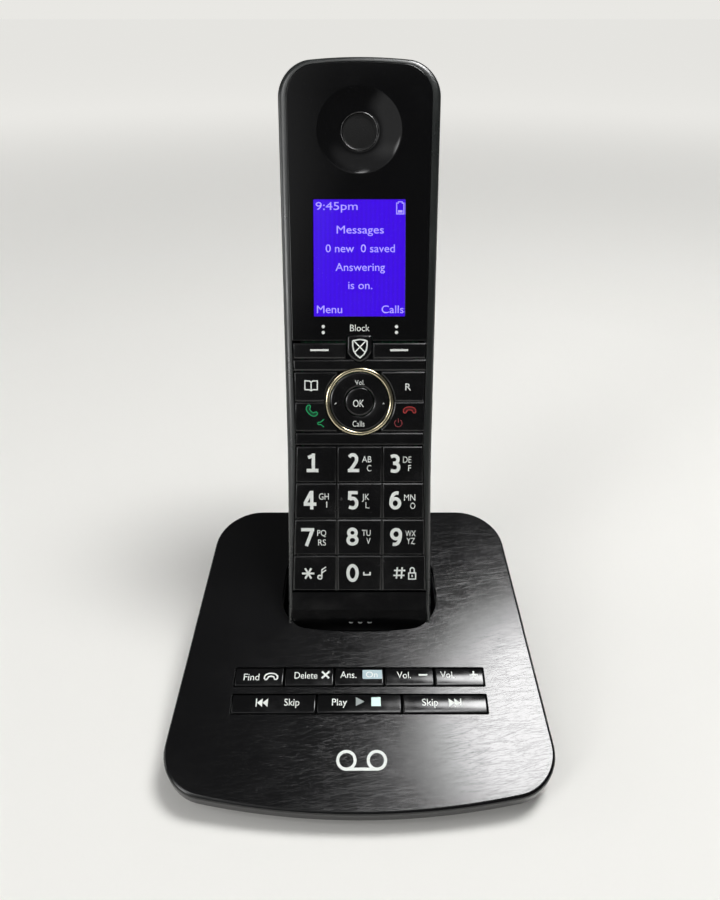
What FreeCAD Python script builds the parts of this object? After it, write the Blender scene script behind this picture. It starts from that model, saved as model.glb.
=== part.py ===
import FreeCAD, Part
import math
import os
import re

import Sketcher
from FreeCAD import Placement, Rotation, Vector

# A cordless telephone with an answering machine: a wedge-shaped base with message
# buttons on its sloping deck, and a handset that stands in a cradle cup in the deck.
#
# Three frames are used, all with X to the right:
#   bench    level, Y measured from the front lip of the cradle opening, Z from the table
#   deck     tilted by deck_tilt, origin on the lip, Z out of the deck
#   handset  turned by handset_lean, origin at the middle of the display on the handset's
#            face, Y towards the earpiece, Z out of the face

SIZES = {
    # how the two halves stand
    "deck_tilt": 15,
    "handset_lean": 65,
    "deck_front_height": 8,
    "face_set_back": 0.87,
    "display_above_deck": 116.3,
    "dock_gap": 0.3,
    # handset case
    "case_top": 57,
    "case_top_arc": 150,
    "case_half_top": 24.7,
    "case_half_waist": 22.5,
    "case_waist": -69,
    "case_half_foot": 23,
    "case_foot": -121,
    "case_thick": 21,
    "case_parting": 6,
    "case_wall": 1.6,
    "face_wall": 2.2,
    "case_corner": 9.5,
    "foot_corner": 7,
    "back_round": 6.5,
    "face_round": 1.4,
    # lens, earpiece and display
    "lens_thick": 1.2,
    "lens_top": 55.6,
    "lens_half_top": 22,
    "lens_bottom": -25.1,
    "lens_half_bottom": 20.95,
    "lens_corner": 8,
    "lens_gap": 0.15,
    "dish_height": 37.7,
    "dish_radius": 13,
    "dish_depth": 2,
    "dish_rim": 1.5,
    "earpiece_radius": 5.9,
    "earpiece_thick": 1.2,
    "display_wide": 28.03,
    "display_tall": 35.04,
    "window_border": 0.8,
    "module_border": 3,
    "module_thick": 1.4,
    # keys: depth of a cap, its travel room above the mat, and the seams between caps
    "key_thick": 2.2,
    "key_room": 0.8,
    "key_seam": 0.3,
    "key_round": 0.25,
    "soft_top": -25.6,
    "soft_bottom": -30.4,
    "nav_top": -34.4,
    "nav_seam": -43.8,
    "nav_bottom": -53.2,
    "nav_key_inner": 6.8,
    "pad_top": -57.7,
    "pad_bottom": -104.4,
    "pad_column": 7.15,
    "keys_half_soft": 20.8,
    "keys_half_nav": 20.4,
    "keys_half_pad": 19.75,
    "keys_half_foot": 21.3,
    "shield_half": 3.8,
    "shield_top": -23.3,
    "shield_shoulder": -28,
    "shield_above_ring": 1.85,
    "shield_arc": 6.5,
    # navigation cluster
    "nav_middle": -43.75,
    "ring_radius": 10.5,
    "ring_inner": 9.4,
    "ring_deep": 1.0,
    "ring_proud": 0.25,
    "ring_round": 0.42,
    "rocker_radius": 9.15,
    "rocker_inner": 4.65,
    "okay_radius": 4.4,
    "okay_proud": 0.1,
    "shield_proud": 0.2,
    "shield_gap": 0.25,
    "spreader_radius": 6,
    "spreader_thick": 0.4,
    "spreader_gap": 0.3,
    # inside the handset
    "mat_thick": 0.6,
    "mat_border": 1,
    "mat_hole_gap": 0.6,
    "board_thick": 1,
    "board_half": 18.5,
    "board_top": 23,
    "board_bottom": -117,
    "receiver_radius": 11,
    "receiver_thick": 4,
    "microphone_radius": 2,
    "microphone_height": -113,
    "microphone_gap": 0.1,
    "ringer_radius": 8,
    "ringer_thick": 3.5,
    "ringer_height": 6,
    "cell_radius": 5.25,
    "cell_length": 44.5,
    "cell_spacing": 11.2,
    "cell_tip_long": 1,
    "cell_tip_radius": 1.75,
    "link_plate_half": 3,
    "cell_foot": -87.5,
    "tray_floor": 7.6,
    "tray_wall": 1,
    "spring_length": 3,
    "spring_wide": 4.2,
    "spring_narrow": 2.4,
    "door_half": 15.5,
    "door_top": -40,
    "door_bottom": -92,
    "door_corner": 3,
    "door_gap": 0.2,
    "pad_spacing": 16,
    "pad_wide": 3,
    "pad_long": 8,
    "pad_recess": 0.5,
    "pad_thick": 1,
    # screws
    "screw_radius": 1.0,
    "screw_tip": 0.5,
    "screw_bite": 4,
    "screw_sunk": 0.6,
    "screw_head": 2,
    "screw_head_thick": 1.2,
    "boss_radius": 2.4,
    "case_screw_spacing": 31,
    "case_screw_height": 26,
    # base deck
    "deck_behind_well": 19.05,
    "deck_half_back": 49.8,
    "deck_front": -48.7,
    "deck_half_front": 56.65,
    "deck_front_arc": 235,
    "deck_corner_back": 14.5,
    "deck_corner_front": 12,
    "deck_thick": 2,
    "deck_rim": 4.7,
    "rim_wall": 2,
    "deck_round": 0.8,
    # cradle cup, measured square to the handset
    "well_half_front": 25.75,
    "well_half_back": 24.6,
    "well_front": 0.67,
    "well_front_arc": 140,
    "well_back_gap": 1.2,
    "well_corner_front": 8,
    "well_corner_back": 6,
    "well_wall": 1.6,
    "well_mouth": -85,
    # bottom tray
    "tray_inset": 4,
    "tray_lift": 0.8,
    "tray_thick": 1.8,
    "tray_side": 2,
    "foot_radius": 4,
    "foot_sunk": 0.7,
    "foot_front": -34,
    "foot_back": 32,
    "foot_half_front": 30,
    "foot_half_back": 27,
    "column_radius": 3,
    "column_split": 6.8,
    "column_front": -34.5,
    "column_half_front": 43.5,
    "column_back": 33,
    "column_half_back": 39,
    # boards, speaker and sockets in the base
    "base_board_half": 33,
    "base_board_front": -19,
    "base_board_back": 38,
    "base_board_thick": 1.2,
    "standoff_height": 1.6,
    "standoff_radius": 2.5,
    "standoff_inset": 4,
    "speaker_radius": 13,
    "speaker_thick": 4,
    "speaker_middle": -32.4,
    "line_wide": 13,
    "line_mouth_wide": 9.8,
    "power_wide": 11,
    "power_mouth_wide": 7.8,
    "socket_tall": 12,
    "socket_deep": 15,
    "socket_mouth_tall": 6.8,
    "socket_mouth_deep": 12,
    "line_middle": -17,
    "power_middle": 14,
    "socket_gap": 0.2,
    # message buttons on the deck
    "button_row_half": 38,
    "row_one_front": -19.1,
    "row_one_back": -13.2,
    "row_two_front": -27.7,
    "row_two_back": -21.8,
    "button_gap": 0.4,
    "slot_gap": 0.25,
    "button_proud": 0.15,
    "button_deep": 3.4,
    "button_room": 0.9,
    "flange_wide": 0.7,
    "flange_thick": 1,
    "button_round": 0.4,
    "button_mat_thick": 0.8,
    "button_board_thick": 1.2,
    "button_board_half": 42,
    "button_board_front": -29.5,
    "button_board_back": -10.5,
    "board_boss_radius": 1.5,
    # charging contacts
    "contact_wide": 2,
    "contact_long": 5,
    "contact_gap": 0.3,
    "contact_tall": 4.5,
    # sound holes
    "hole_radius": 0.6,
    "ringer_hole_pitch": 2.2,
    "earpiece_hole_pitch": 1.9,
    "speaker_hole_pitch": 2.6,
    "mouth_slot_pitch": 3,
    "mouth_slot_half": 0.6,
    "mouth_slot_drop": 2.3,
    # fits, and how far a cutting tool runs past what it cuts
    "snug": 0.05,
    "loose": 0.2,
    "overcut": 1,
    "far_side": 120,
}

NUMBER_KEYS = (
    ("key_1", "key_2", "key_3"),
    ("key_4", "key_5", "key_6"),
    ("key_7", "key_8", "key_9"),
    ("key_star", "key_0", "key_hash"),
)
ROW_ONE = ("find_button", "delete_button", "answer_button", "volume_down_button", "volume_up_button")
ROW_TWO = ("skip_back_button", "play_stop_button", "skip_forward_button")

ON_LEVEL = 1e-4
FACE_WAY = Vector(1, 0, 0)

doc = FreeCAD.newDocument("answering_machine")
sheet = doc.addObject("Spreadsheet::Sheet", "Sizes")
for row, (word, number) in enumerate(SIZES.items(), start=1):
    sheet.set("A%d" % row, word)
    sheet.set("B%d" % row, str(number))
    sheet.setAlias("B%d" % row, word)
doc.recompute()
pieces = []


def bound(text):
    """Give every size word in an expression the name of its sheet."""
    return re.sub(r"[a-z_]+", lambda word: "Sizes." + word[0] if word[0] in SIZES else word[0], str(text))


def value(text):
    """Work out an expression of size words as a plain number."""
    return float(sheet.evalExpression(bound(text)))


def drive(thing, path, text):
    """Bind a property to an expression of size words."""
    thing.setExpression(path, bound(text))


# ---- frames -------------------------------------------------------------------------

def lip_to_display():
    """How far the display's middle lies behind and above the cradle opening's lip."""
    lean = math.radians(value("handset_lean"))
    tilt = math.radians(value("deck_tilt"))
    back = value("face_set_back") * math.cos(tilt) + value("display_above_deck") * math.cos(lean)
    up = value("face_set_back") * math.sin(tilt) + value("display_above_deck") * math.sin(lean)
    return back, up


def arc_rise(half, radius):
    """How far an arc stands out over a chord of twice half."""
    return radius - math.sqrt(radius ** 2 - half ** 2)


def front_of_base():
    """Y of the deck's front edge, from the lip."""
    tilt = math.radians(value("deck_tilt"))
    edge = value("deck_front") - arc_rise(value("deck_half_front"), value("deck_front_arc"))
    radius = value("deck_round")
    return (edge + radius) * math.cos(tilt) + radius * math.sin(tilt) - radius


def back_of_handset():
    """Y of the rounded top rear corner of the handset, from the lip."""
    lean = math.radians(value("handset_lean"))
    radius = value("back_round")
    top = value("case_top") + arc_rise(value("case_half_top"), value("case_top_arc")) - radius
    depth = value("case_thick") - radius
    return lip_to_display()[0] + top * math.cos(lean) + depth * math.sin(lean) + radius


def lip_height():
    """Height of the cradle opening's lip over the table."""
    edge = value("deck_front") - arc_rise(value("deck_half_front"), value("deck_front_arc"))
    return value("deck_front_height") - edge * math.sin(math.radians(value("deck_tilt")))


LIP = Vector(0, -(front_of_base() + back_of_handset()) / 2, 0)
BENCH = Placement(LIP, Rotation())
DECK = Placement(LIP + Vector(0, 0, lip_height()), Rotation(FACE_WAY, value("deck_tilt")))
HANDSET = Placement(LIP + Vector(0, lip_to_display()[0], lip_height() + lip_to_display()[1]),
                    Rotation(FACE_WAY, value("handset_lean")))


# ---- building blocks ----------------------------------------------------------------

def begin(name, frame):
    """Start a body in one of the frames."""
    body = doc.addObject("PartDesign::Body", name)
    body.Placement = frame
    return body


def outline(body, corners, level, bulges, role="XY_Plane"):
    """Sketch a closed outline; side i is an arc outwards if bulges gives it a radius."""
    sketch = body.newObject("Sketcher::SketchObject", body.Name + "_outline")
    plane = next(part for part in body.Origin.OriginFeatures if part.Role == role)
    sketch.AttachmentSupport = [(plane, "")]
    sketch.MapMode = "FlatFace"
    drive(sketch, "AttachmentOffset.Base.z", level)
    points = [Vector(value(across), value(along), 0) for across, along in corners]
    count = len(points)
    for side, start in enumerate(points):
        end = points[(side + 1) % count]
        if side in bulges:
            sketch.addGeometry(arc_between(start, end, value(bulges[side])), False)
        else:
            sketch.addGeometry(Part.LineSegment(start, end), False)
    for side in range(count):
        sketch.addConstraint(Sketcher.Constraint("Coincident", side, 2, (side + 1) % count, 1))
    for side, (across, along) in enumerate(corners):
        fix(sketch, "across_%d" % side, across, "DistanceX", -1, 1, side, 1)
        fix(sketch, "along_%d" % side, along, "DistanceY", -1, 1, side, 1)
    for side, radius in bulges.items():
        fix(sketch, "radius_%d" % side, radius, "Radius", side)
    return sketch


def fix(sketch, name, text, kind, *where):
    """Add one driving dimension to a sketch and bind it to the sheet."""
    number = sketch.addConstraint(Sketcher.Constraint(kind, *where, value(text)))
    sketch.renameConstraint(number, name)
    drive(sketch, "Constraints." + name, text)


def arc_between(start, end, radius):
    """The arc that runs anticlockwise from start to end with its bulge outwards."""
    chord = end - start
    half = chord.Length / 2
    inward = Vector(-chord.y, chord.x, 0).normalize()
    centre = (start + end) / 2 + inward * math.sqrt(radius ** 2 - half ** 2)
    first = math.atan2(start.y - centre.y, start.x - centre.x)
    last = math.atan2(end.y - centre.y, end.x - centre.x)
    return Part.ArcOfCircle(Part.Circle(centre, Vector(0, 0, 1), radius), first, last)


def pad(body, corners, low, high, bulges=None, role="XY_Plane"):
    """Extrude an outline from one level to another."""
    sketch = outline(body, corners, low, bulges or {}, role)
    feature = body.newObject("PartDesign::Pad", body.Name + "_pad")
    feature.Profile = sketch
    drive(feature, "Length", "(%s) - (%s)" % (high, low))
    doc.recompute()
    return feature


def fillet(body, radius, chosen):
    """Round the edges of the body's tip that a test picks."""
    tip = body.Tip
    names = ["Edge%d" % number for number, edge in enumerate(tip.Shape.Edges, start=1) if chosen(edge)]
    feature = body.newObject("PartDesign::Fillet", body.Name + "_fillet")
    feature.Base = (tip, names)
    drive(feature, "Radius", radius)
    doc.recompute()
    return feature


def upright(edge):
    """True for an edge that runs along the frame's Z."""
    box = edge.BoundBox
    return box.XLength < ON_LEVEL and box.YLength < ON_LEVEL and box.ZLength > ON_LEVEL


def upright_at(side):
    """A test for upright edges on one side: +1 for the far end of Y, -1 for the near end."""
    return lambda edge: upright(edge) and edge.BoundBox.Center.y * side > 0


def at_level(text):
    """A test for edges that lie flat at one level."""
    level = value(text)
    return lambda edge: max(abs(edge.BoundBox.ZMin - level), abs(edge.BoundBox.ZMax - level)) < 1e-3


def block(name, frame, across, along, levels):
    """A rectangular block between pairs of limits."""
    body = begin(name, frame)
    feature = body.newObject("PartDesign::AdditiveBox", name + "_box")
    for length, axis, (low, high) in zip(("Length", "Width", "Height"), "xyz", (across, along, levels)):
        drive(feature, length, "(%s) - (%s)" % (high, low))
        drive(feature, "Placement.Base." + axis, low)
    return body


def rod(name, frame, middle, levels, radius, lying=False):
    """A cylinder along Z, or along Y when it is lying; middle gives its other two places."""
    body = begin(name, frame)
    feature = body.newObject("PartDesign::AdditiveCylinder", name + "_rod")
    low, high = levels
    drive(feature, "Radius", radius)
    drive(feature, "Height", "(%s) - (%s)" % (high, low))
    if lying:
        feature.Placement = Placement(Vector(), Rotation(FACE_WAY, -90))
    places = (middle[0], low, middle[1]) if lying else (middle[0], middle[1], low)
    for axis, place in zip("xyz", places):
        drive(feature, "Placement.Base." + axis, place)
    return body


def joined(name, parts, kind="Part::MultiFuse"):
    """Fuse several solids, or keep what they have in common."""
    result = doc.addObject(kind, name)
    result.Shapes = parts
    return result


def shared(name, first, second):
    """What two solids have in common."""
    return joined(name, [first, second], "Part::MultiCommon")


def cut(name, base, tools):
    """Cut one or more tools out of a solid."""
    result = doc.addObject("Part::Cut", name)
    result.Base = base
    result.Tool = tools[0] if len(tools) == 1 else joined(name + "_tools", tools)
    return result


def soften(name, base, radius, chosen):
    """Round the chosen edges of a boolean result."""
    doc.recompute()
    edges = [number for number, edge in enumerate(base.Shape.Edges, start=1) if chosen(edge)]
    result = doc.addObject("Part::Fillet", name)
    result.Base = base
    result.Edges = [(number, value(radius), value(radius)) for number in edges]
    return result


def on_plane(frame, text):
    """A test for edges that lie flat at one level of a tilted frame."""
    level = value(text)
    back = frame.inverse()
    return lambda edge: all(abs(back.multVec(end.Point).z - level) < 1e-3 for end in edge.Vertexes)


def is_straight(edge):
    """True for a straight edge."""
    return isinstance(edge.Curve, Part.Line)


def keep(thing, label):
    """Enter a finished sub-part under its own name."""
    thing.Label = label
    pieces.append(thing)
    return thing


def rectangle(across, along):
    """The four corners of a rectangle, anticlockwise."""
    left, right = across
    near, far = along
    return ((left, near), (right, near), (right, far), (left, far))


def mirrored_corners(right_side):
    """A symmetrical outline, anticlockwise, from its right-hand corners, near to far."""
    left_side = [("-(%s)" % across, along) for across, along in reversed(right_side)]
    return tuple(right_side) + tuple(left_side)


# ---- handset case -------------------------------------------------------------------

KEY_FLOOR = "-key_thick"
MAT_TOP = "-key_thick - key_room"
BOARD_FACE = MAT_TOP + " - mat_thick"
BOARD_BACK = BOARD_FACE + " - board_thick"
INNER_BACK = "case_wall - case_thick"
SHIELD_TIP = "nav_middle + ring_radius + shield_above_ring"


def case_corners(inset):
    """The handset's outline, narrow at its waist, drawn in by inset."""
    return mirrored_corners((
        ("case_half_foot - (%s)" % inset, "case_foot + (%s)" % inset),
        ("case_half_waist - (%s)" % inset, "case_waist"),
        ("case_half_top - (%s)" % inset, "case_top - (%s)" % inset),
    ))


def case_block(name, inset, low, high):
    """A solid of the handset's outline, with its four corners rounded."""
    body = begin(name, HANDSET)
    pad(body, case_corners(inset), low, high, {2: "case_top_arc"})
    top = value("case_top - (%s)" % inset)
    foot = value("case_foot + (%s)" % inset)
    fillet(body, "case_corner - (%s)" % inset,
           lambda edge: upright(edge) and abs(edge.BoundBox.YMin - top) < 1e-3)
    fillet(body, "foot_corner - (%s)" % inset,
           lambda edge: upright(edge) and abs(edge.BoundBox.YMin - foot) < 1e-3)
    return body


def charge_slots():
    """Two slots through the foot wall for the charging pads."""
    slots = []
    for side in (-1, 1):
        middle = "%d * pad_spacing / 2" % side
        slots.append(block("charge_slot_%s" % ("left" if side < 0 else "right"), HANDSET,
                           (middle + " - pad_wide / 2", middle + " + pad_wide / 2"),
                           ("case_foot - overcut", "case_foot + case_wall + overcut"),
                           ("-case_thick / 2 - pad_long / 2", "-case_thick / 2 + pad_long / 2")))
    return slots


def case_screw_places():
    """The two screws that hold the handset's halves together."""
    return [("%d * case_screw_spacing / 2" % side, "case_screw_height") for side in (-1, 1)]


def ring_of_holes(name, frame, middle, levels, spacing, rings):
    """Sound holes on rings about a middle hole."""
    holes = []
    for ring in range(rings + 1):
        count = max(1, 6 * ring)
        for number in range(count):
            angle = 2 * math.pi * number / count
            across = "%s + %.4f * %s" % (middle[0], ring * math.cos(angle), spacing)
            along = "%s + %.4f * %s" % (middle[1], ring * math.sin(angle), spacing)
            label = "%s_%d_%d" % (name, ring, number)
            holes.append(rod(label, frame, (across, along), levels, "hole_radius"))
    return joined(name, holes)


def rear_cover():
    """The back half of the case, with the battery tray, screw bosses and ringer holes."""
    outer = case_block("rear_outer", "0", "-case_thick", "-case_parting")
    fillet(outer, "back_round", at_level("-case_thick"))
    inner = case_block("rear_inner", "case_wall", INNER_BACK, "-case_parting + overcut")
    fillet(inner, "back_round - case_wall", at_level(INNER_BACK))
    shell = cut("rear_shell", outer, [inner])
    inside = [shell]
    floor = block("tray_floor_slab", HANDSET, ("-case_half_top", "case_half_top"),
                  ("door_bottom - tray_wall", "door_top + tray_wall"),
                  ("-tray_floor", "-tray_floor + tray_wall"))
    inside.append(shared("battery_tray_floor", outer, floor))
    cell_room = "cell_spacing / 2 + cell_radius + tray_wall"
    for end, near in (("low", "cell_foot - spring_length - tray_wall"), ("high", "door_top")):
        inside.append(block("tray_end_" + end, HANDSET, ("-(%s)" % cell_room, cell_room),
                            (near, near + " + tray_wall"), (INNER_BACK, "-tray_floor")))
    for number, place in enumerate(case_screw_places()):
        inside.append(rod("rear_boss_%d" % number, HANDSET, place, (INNER_BACK, "-case_parting"),
                          "boss_radius"))
    tools = [cut_door(), ring_of_holes("ringer_holes", HANDSET, ("0", "ringer_height"),
                                       ("-case_thick - overcut", INNER_BACK + " + overcut"),
                                       "ringer_hole_pitch", 3)]
    tools += charge_slots()
    for number, place in enumerate(case_screw_places()):
        tools.append(rod("rear_hole_%d" % number, HANDSET, place, ("-case_thick", "0"),
                         "screw_radius + snug"))
        tools.append(rod("rear_sink_%d" % number, HANDSET, place,
                         ("-case_thick - overcut", INNER_BACK + " + screw_head_thick"),
                         "screw_head + loose"))
    keep(cut("rear_cover_cut", joined("rear_solid", inside), tools), "handset_rear_cover")


def cut_door():
    """The opening that the battery cover fills."""
    body = begin("door_opening", HANDSET)
    pad(body, rectangle(("-door_half", "door_half"), ("door_bottom", "door_top")),
        "-case_thick - overcut", INNER_BACK + " + door_gap")
    fillet(body, "door_corner", upright)
    return body


def battery_cover():
    """A flush snap-in plate over the cells."""
    body = begin("battery_door", HANDSET)
    pad(body, rectangle(("-door_half + door_gap", "door_half - door_gap"),
                        ("door_bottom + door_gap", "door_top - door_gap")),
        "-case_thick", INNER_BACK)
    fillet(body, "door_corner - door_gap", upright)
    keep(body, "battery_cover")


# ---- handset face -------------------------------------------------------------------

def field(name, spans, low, high, grow="0"):
    """The prism that a block of keys fills: spans are (half width, y) pairs, near to far."""
    body = begin(name, HANDSET)
    last = len(spans) - 1
    right = []
    for number, (half, along) in enumerate(spans):
        shift = "- (%s)" % grow if number == 0 else ("+ (%s)" % grow if number == last else "")
        right.append(("%s + (%s)" % (half, grow), "%s %s" % (along, shift)))
    pad(body, mirrored_corners(right), low, high)
    return body


SOFT_SPANS = (("keys_half_soft", "soft_bottom"), ("keys_half_soft", "soft_top"))
NAV_SPANS = (("keys_half_nav", "nav_bottom"), ("keys_half_nav", "nav_top"))
PAD_SPANS = (("keys_half_foot", "pad_bottom"), ("keys_half_pad", "pad_top"))


def shield(name, grow, low, high):
    """The shield-shaped outline of the call-blocking key."""
    body = begin(name, HANDSET)
    right = (("0", "%s - (%s)" % (SHIELD_TIP, grow)),
             ("shield_half + (%s)" % grow, "shield_shoulder"),
             ("shield_half + (%s)" % grow, "shield_top + (%s)" % grow))
    left = [("-(%s)" % across, along) for across, along in reversed(right[1:])]
    pad(body, right + tuple(left), low, high, {0: "shield_arc", 4: "shield_arc"})
    return body


def lens_block(name, grow, low, high):
    """The lens outline: straight sides, arched top, round top corners."""
    body = begin(name, HANDSET)
    right = (("lens_half_bottom + (%s)" % grow, "lens_bottom - (%s)" % grow),
             ("lens_half_top + (%s)" % grow, "lens_top + (%s)" % grow))
    pad(body, mirrored_corners(right), low, high, {1: "case_top_arc"})
    fillet(body, "lens_corner + (%s)" % grow, upright_at(1))
    return body


def nav_land():
    """The narrow step that carries the bright ring between the keys and the rocker."""
    outer = rod("land_outer", HANDSET, ("0", "nav_middle"), (KEY_FLOOR, "-ring_deep"), "ring_radius + loose")
    inner = rod("land_inner", HANDSET, ("0", "nav_middle"), ("-key_thick - overcut", "overcut"),
                "rocker_radius + loose")
    return cut("ring_land", outer, [inner])


def front_cover():
    """The front half of the case: lens seat, key windows, crossbars and chin."""
    outer = case_block("front_outer", "0", "-case_parting", "0")
    fillet(outer, "face_round", at_level("0"))
    cavity = case_block("front_cavity", "case_wall", "-case_parting - overcut", "-face_wall")
    bosses = []
    for number, place in enumerate(case_screw_places()):
        bosses.append(rod("front_boss_%d" % number, HANDSET, place, ("-case_parting", "-face_wall"),
                          "boss_radius"))
    shell = joined("front_shell", [cut("front_hollow", outer, [cavity])] + bosses)
    tools = [lens_block("lens_seat", "lens_gap", "-lens_thick", "overcut")]
    half_wide = "display_wide / 2 + window_border"
    half_tall = "display_tall / 2 + window_border"
    tools.append(block("display_window", HANDSET, ("-(%s)" % half_wide, half_wide),
                       ("-(%s)" % half_tall, half_tall), ("-face_wall - overcut", "0")))
    tools.append(rod("dish_window", HANDSET, ("0", "dish_height"), ("-face_wall - overcut", "0"),
                     "dish_radius + dish_rim + loose"))
    for name, spans in (("soft_window", SOFT_SPANS), ("pad_window", PAD_SPANS)):
        tools.append(field(name, spans, "-face_wall - overcut", "overcut", "key_seam"))
    nav_window = field("nav_window", NAV_SPANS, "-face_wall - overcut", "overcut", "key_seam")
    tools.append(cut("nav_window_cut", nav_window, [nav_land()]))
    tools.append(rod("rocker_window", HANDSET, ("0", "nav_middle"), ("-face_wall - overcut", "overcut"),
                     "rocker_radius + loose"))
    tools.append(rod("ring_seat", HANDSET, ("0", "nav_middle"), ("-ring_deep", "overcut"),
                     "ring_radius + snug"))
    tools.append(shield("shield_window", "shield_gap", "-face_wall - overcut", "overcut"))
    for number, place in enumerate(case_screw_places()):
        tools.append(rod("front_hole_%d" % number, HANDSET, place,
                         ("-case_parting - overcut", "-face_wall - screw_tip + snug"), "screw_radius + snug"))
    for number in (-1, 0, 1):
        across = "%d * mouth_slot_pitch" % number
        along = "microphone_height - mouth_slot_drop"
        tools.append(block("mouth_slot_%d" % (number + 1), HANDSET,
                           (across + " - mouth_slot_half", across + " + mouth_slot_half"),
                           (along, along + " + mouth_slot_half"),
                           ("-face_wall - overcut", "overcut")))
    keep(cut("front_cover_cut", shell, tools), "handset_front_cover")


def lens():
    """The glossy window over the display, dished round the earpiece."""
    plate = lens_block("lens_plate", "0", "-lens_thick", "0")
    cup = rod("dish_boss", HANDSET, ("0", "dish_height"), ("-dish_depth - lens_thick", "-lens_thick"),
              "dish_radius + dish_rim")
    ball_radius = "(dish_radius * dish_radius + dish_depth * dish_depth) / (2 * dish_depth)"
    ball = begin("dish_ball", HANDSET)
    sphere = ball.newObject("PartDesign::AdditiveSphere", "dish_ball_sphere")
    drive(sphere, "Radius", ball_radius)
    drive(sphere, "Placement.Base.y", "dish_height")
    drive(sphere, "Placement.Base.z", ball_radius + " - dish_depth")
    hole = rod("earpiece_hole", HANDSET, ("0", "dish_height"), ("-case_parting", "overcut"),
               "earpiece_radius + snug")
    notch = shield("lens_notch", "shield_gap", "-case_parting", "overcut")
    keep(cut("lens_cut", joined("lens_solid", [plate, cup]), [ball, hole, notch]), "handset_lens")


def earpiece():
    """A perforated disc in the middle of the dish."""
    level = "-dish_depth - earpiece_thick"
    disc = rod("earpiece_disc", HANDSET, ("0", "dish_height"), (level, level + " + earpiece_thick"),
               "earpiece_radius")
    holes = ring_of_holes("earpiece_holes", HANDSET, ("0", "dish_height"), (level + " - overcut", "0"),
                          "earpiece_hole_pitch", 2)
    keep(cut("earpiece_cut", disc, [holes]), "earpiece_cap")


def nav_cluster():
    """Bright ring, four-way rocker with its spreader, and the round middle key."""
    middle = ("0", "nav_middle")
    bore = rod("ring_bore", HANDSET, middle, ("-case_parting", "overcut"), "ring_inner")
    ring = rod("ring_blank", HANDSET, middle, ("-ring_deep", "ring_proud"), "ring_radius")
    ring_cut = cut("ring_cut", ring, [bore])
    keep(soften("ring_soft", ring_cut, "ring_round", on_plane(HANDSET, "ring_proud")),
         "nav_ring")
    hole = rod("rocker_bore", HANDSET, middle, ("-case_parting", "overcut"), "rocker_inner")
    rocker = rod("rocker_blank", HANDSET, middle, (KEY_FLOOR, "0"), "rocker_radius")
    keep(soften("rocker_soft", cut("rocker_cut", rocker, [hole]), "key_round", on_plane(HANDSET, "0")),
         "nav_rocker")
    spreader = rod("spreader_blank", HANDSET, middle,
                   (KEY_FLOOR + " - spreader_gap - spreader_thick", KEY_FLOOR + " - spreader_gap"),
                   "spreader_radius")
    keep(cut("spreader_cut", spreader, [rod("spreader_bore", HANDSET, middle, ("-case_parting", "0"),
                                            "rocker_inner + loose")]), "nav_spreader")
    okay = rod("okay_blank", HANDSET, middle, (KEY_FLOOR, "okay_proud"), "okay_radius")
    fillet_tip(okay, "key_round", "okay_proud")
    keep(okay, "ok_key")


def fillet_tip(body, radius, level):
    """Round the upper edge of a simple body."""
    doc.recompute()
    fillet(body, radius, at_level(level))


def key_cap(label, block_of_keys, across, along, tools=()):
    """One cap: the part of a key block inside its own cell, with a rounded top edge."""
    cell = block(label + "_cell", HANDSET, across, along, (KEY_FLOOR + " - overcut", "overcut"))
    cap = shared(label + "_blank", block_of_keys, cell)
    if tools:
        cap = cut(label + "_cut", cap, list(tools))
    on_top = on_plane(HANDSET, "0")
    keep(soften(label + "_soft", cap, "key_round", lambda edge: on_top(edge) and is_straight(edge)), label)


def number_keys():
    """Twelve caps in a block that widens towards the foot."""
    keys = field("number_block", PAD_SPANS, KEY_FLOOR, "0")
    columns = (("-case_half_top", "-pad_column - key_seam / 2"),
               ("-pad_column + key_seam / 2", "pad_column - key_seam / 2"),
               ("pad_column + key_seam / 2", "case_half_top"))
    rows = len(NUMBER_KEYS)
    for row, labels in enumerate(NUMBER_KEYS):
        far = "pad_top + (pad_bottom - pad_top) * %d / %d" % (row, rows)
        near = "pad_top + (pad_bottom - pad_top) * %d / %d" % (row + 1, rows)
        far += " - key_seam / 2" if row else ""
        near += " + key_seam / 2" if row < rows - 1 else ""
        for label, across in zip(labels, columns):
            key_cap(label, keys, across, (near, far))


def command_keys():
    """Soft keys, the shield key, and the four keys round the ring."""
    soft = field("soft_block", SOFT_SPANS, KEY_FLOOR, "0")
    clear = "shield_half + key_seam"
    along = ("soft_bottom - overcut", "soft_top + overcut")
    key_cap("softkey_left", soft, ("-case_half_top", "-(%s)" % clear), along)
    key_cap("softkey_right", soft, (clear, "case_half_top"), along)
    badge = shield("shield_blank", "0", KEY_FLOOR, "shield_proud")
    fillet(badge, "key_round", at_level("shield_proud"))
    keep(badge, "block_key")
    keys = field("nav_block", NAV_SPANS, KEY_FLOOR, "0")
    circle = rod("ring_clearance", HANDSET, ("0", "nav_middle"), ("-case_parting", "overcut"),
                 "ring_radius + key_seam")
    halves = ((("nav_seam + key_seam / 2", "nav_top + overcut"), ("book_key", "recall_key")),
              (("nav_bottom - overcut", "nav_seam - key_seam / 2"), ("call_key", "end_key")))
    for along, (left, right) in halves:
        key_cap(left, keys, ("-case_half_top", "-nav_key_inner"), along, (circle,))
        key_cap(right, keys, ("nav_key_inner", "case_half_top"), along, (circle,))


# ---- inside the handset -------------------------------------------------------------

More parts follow.
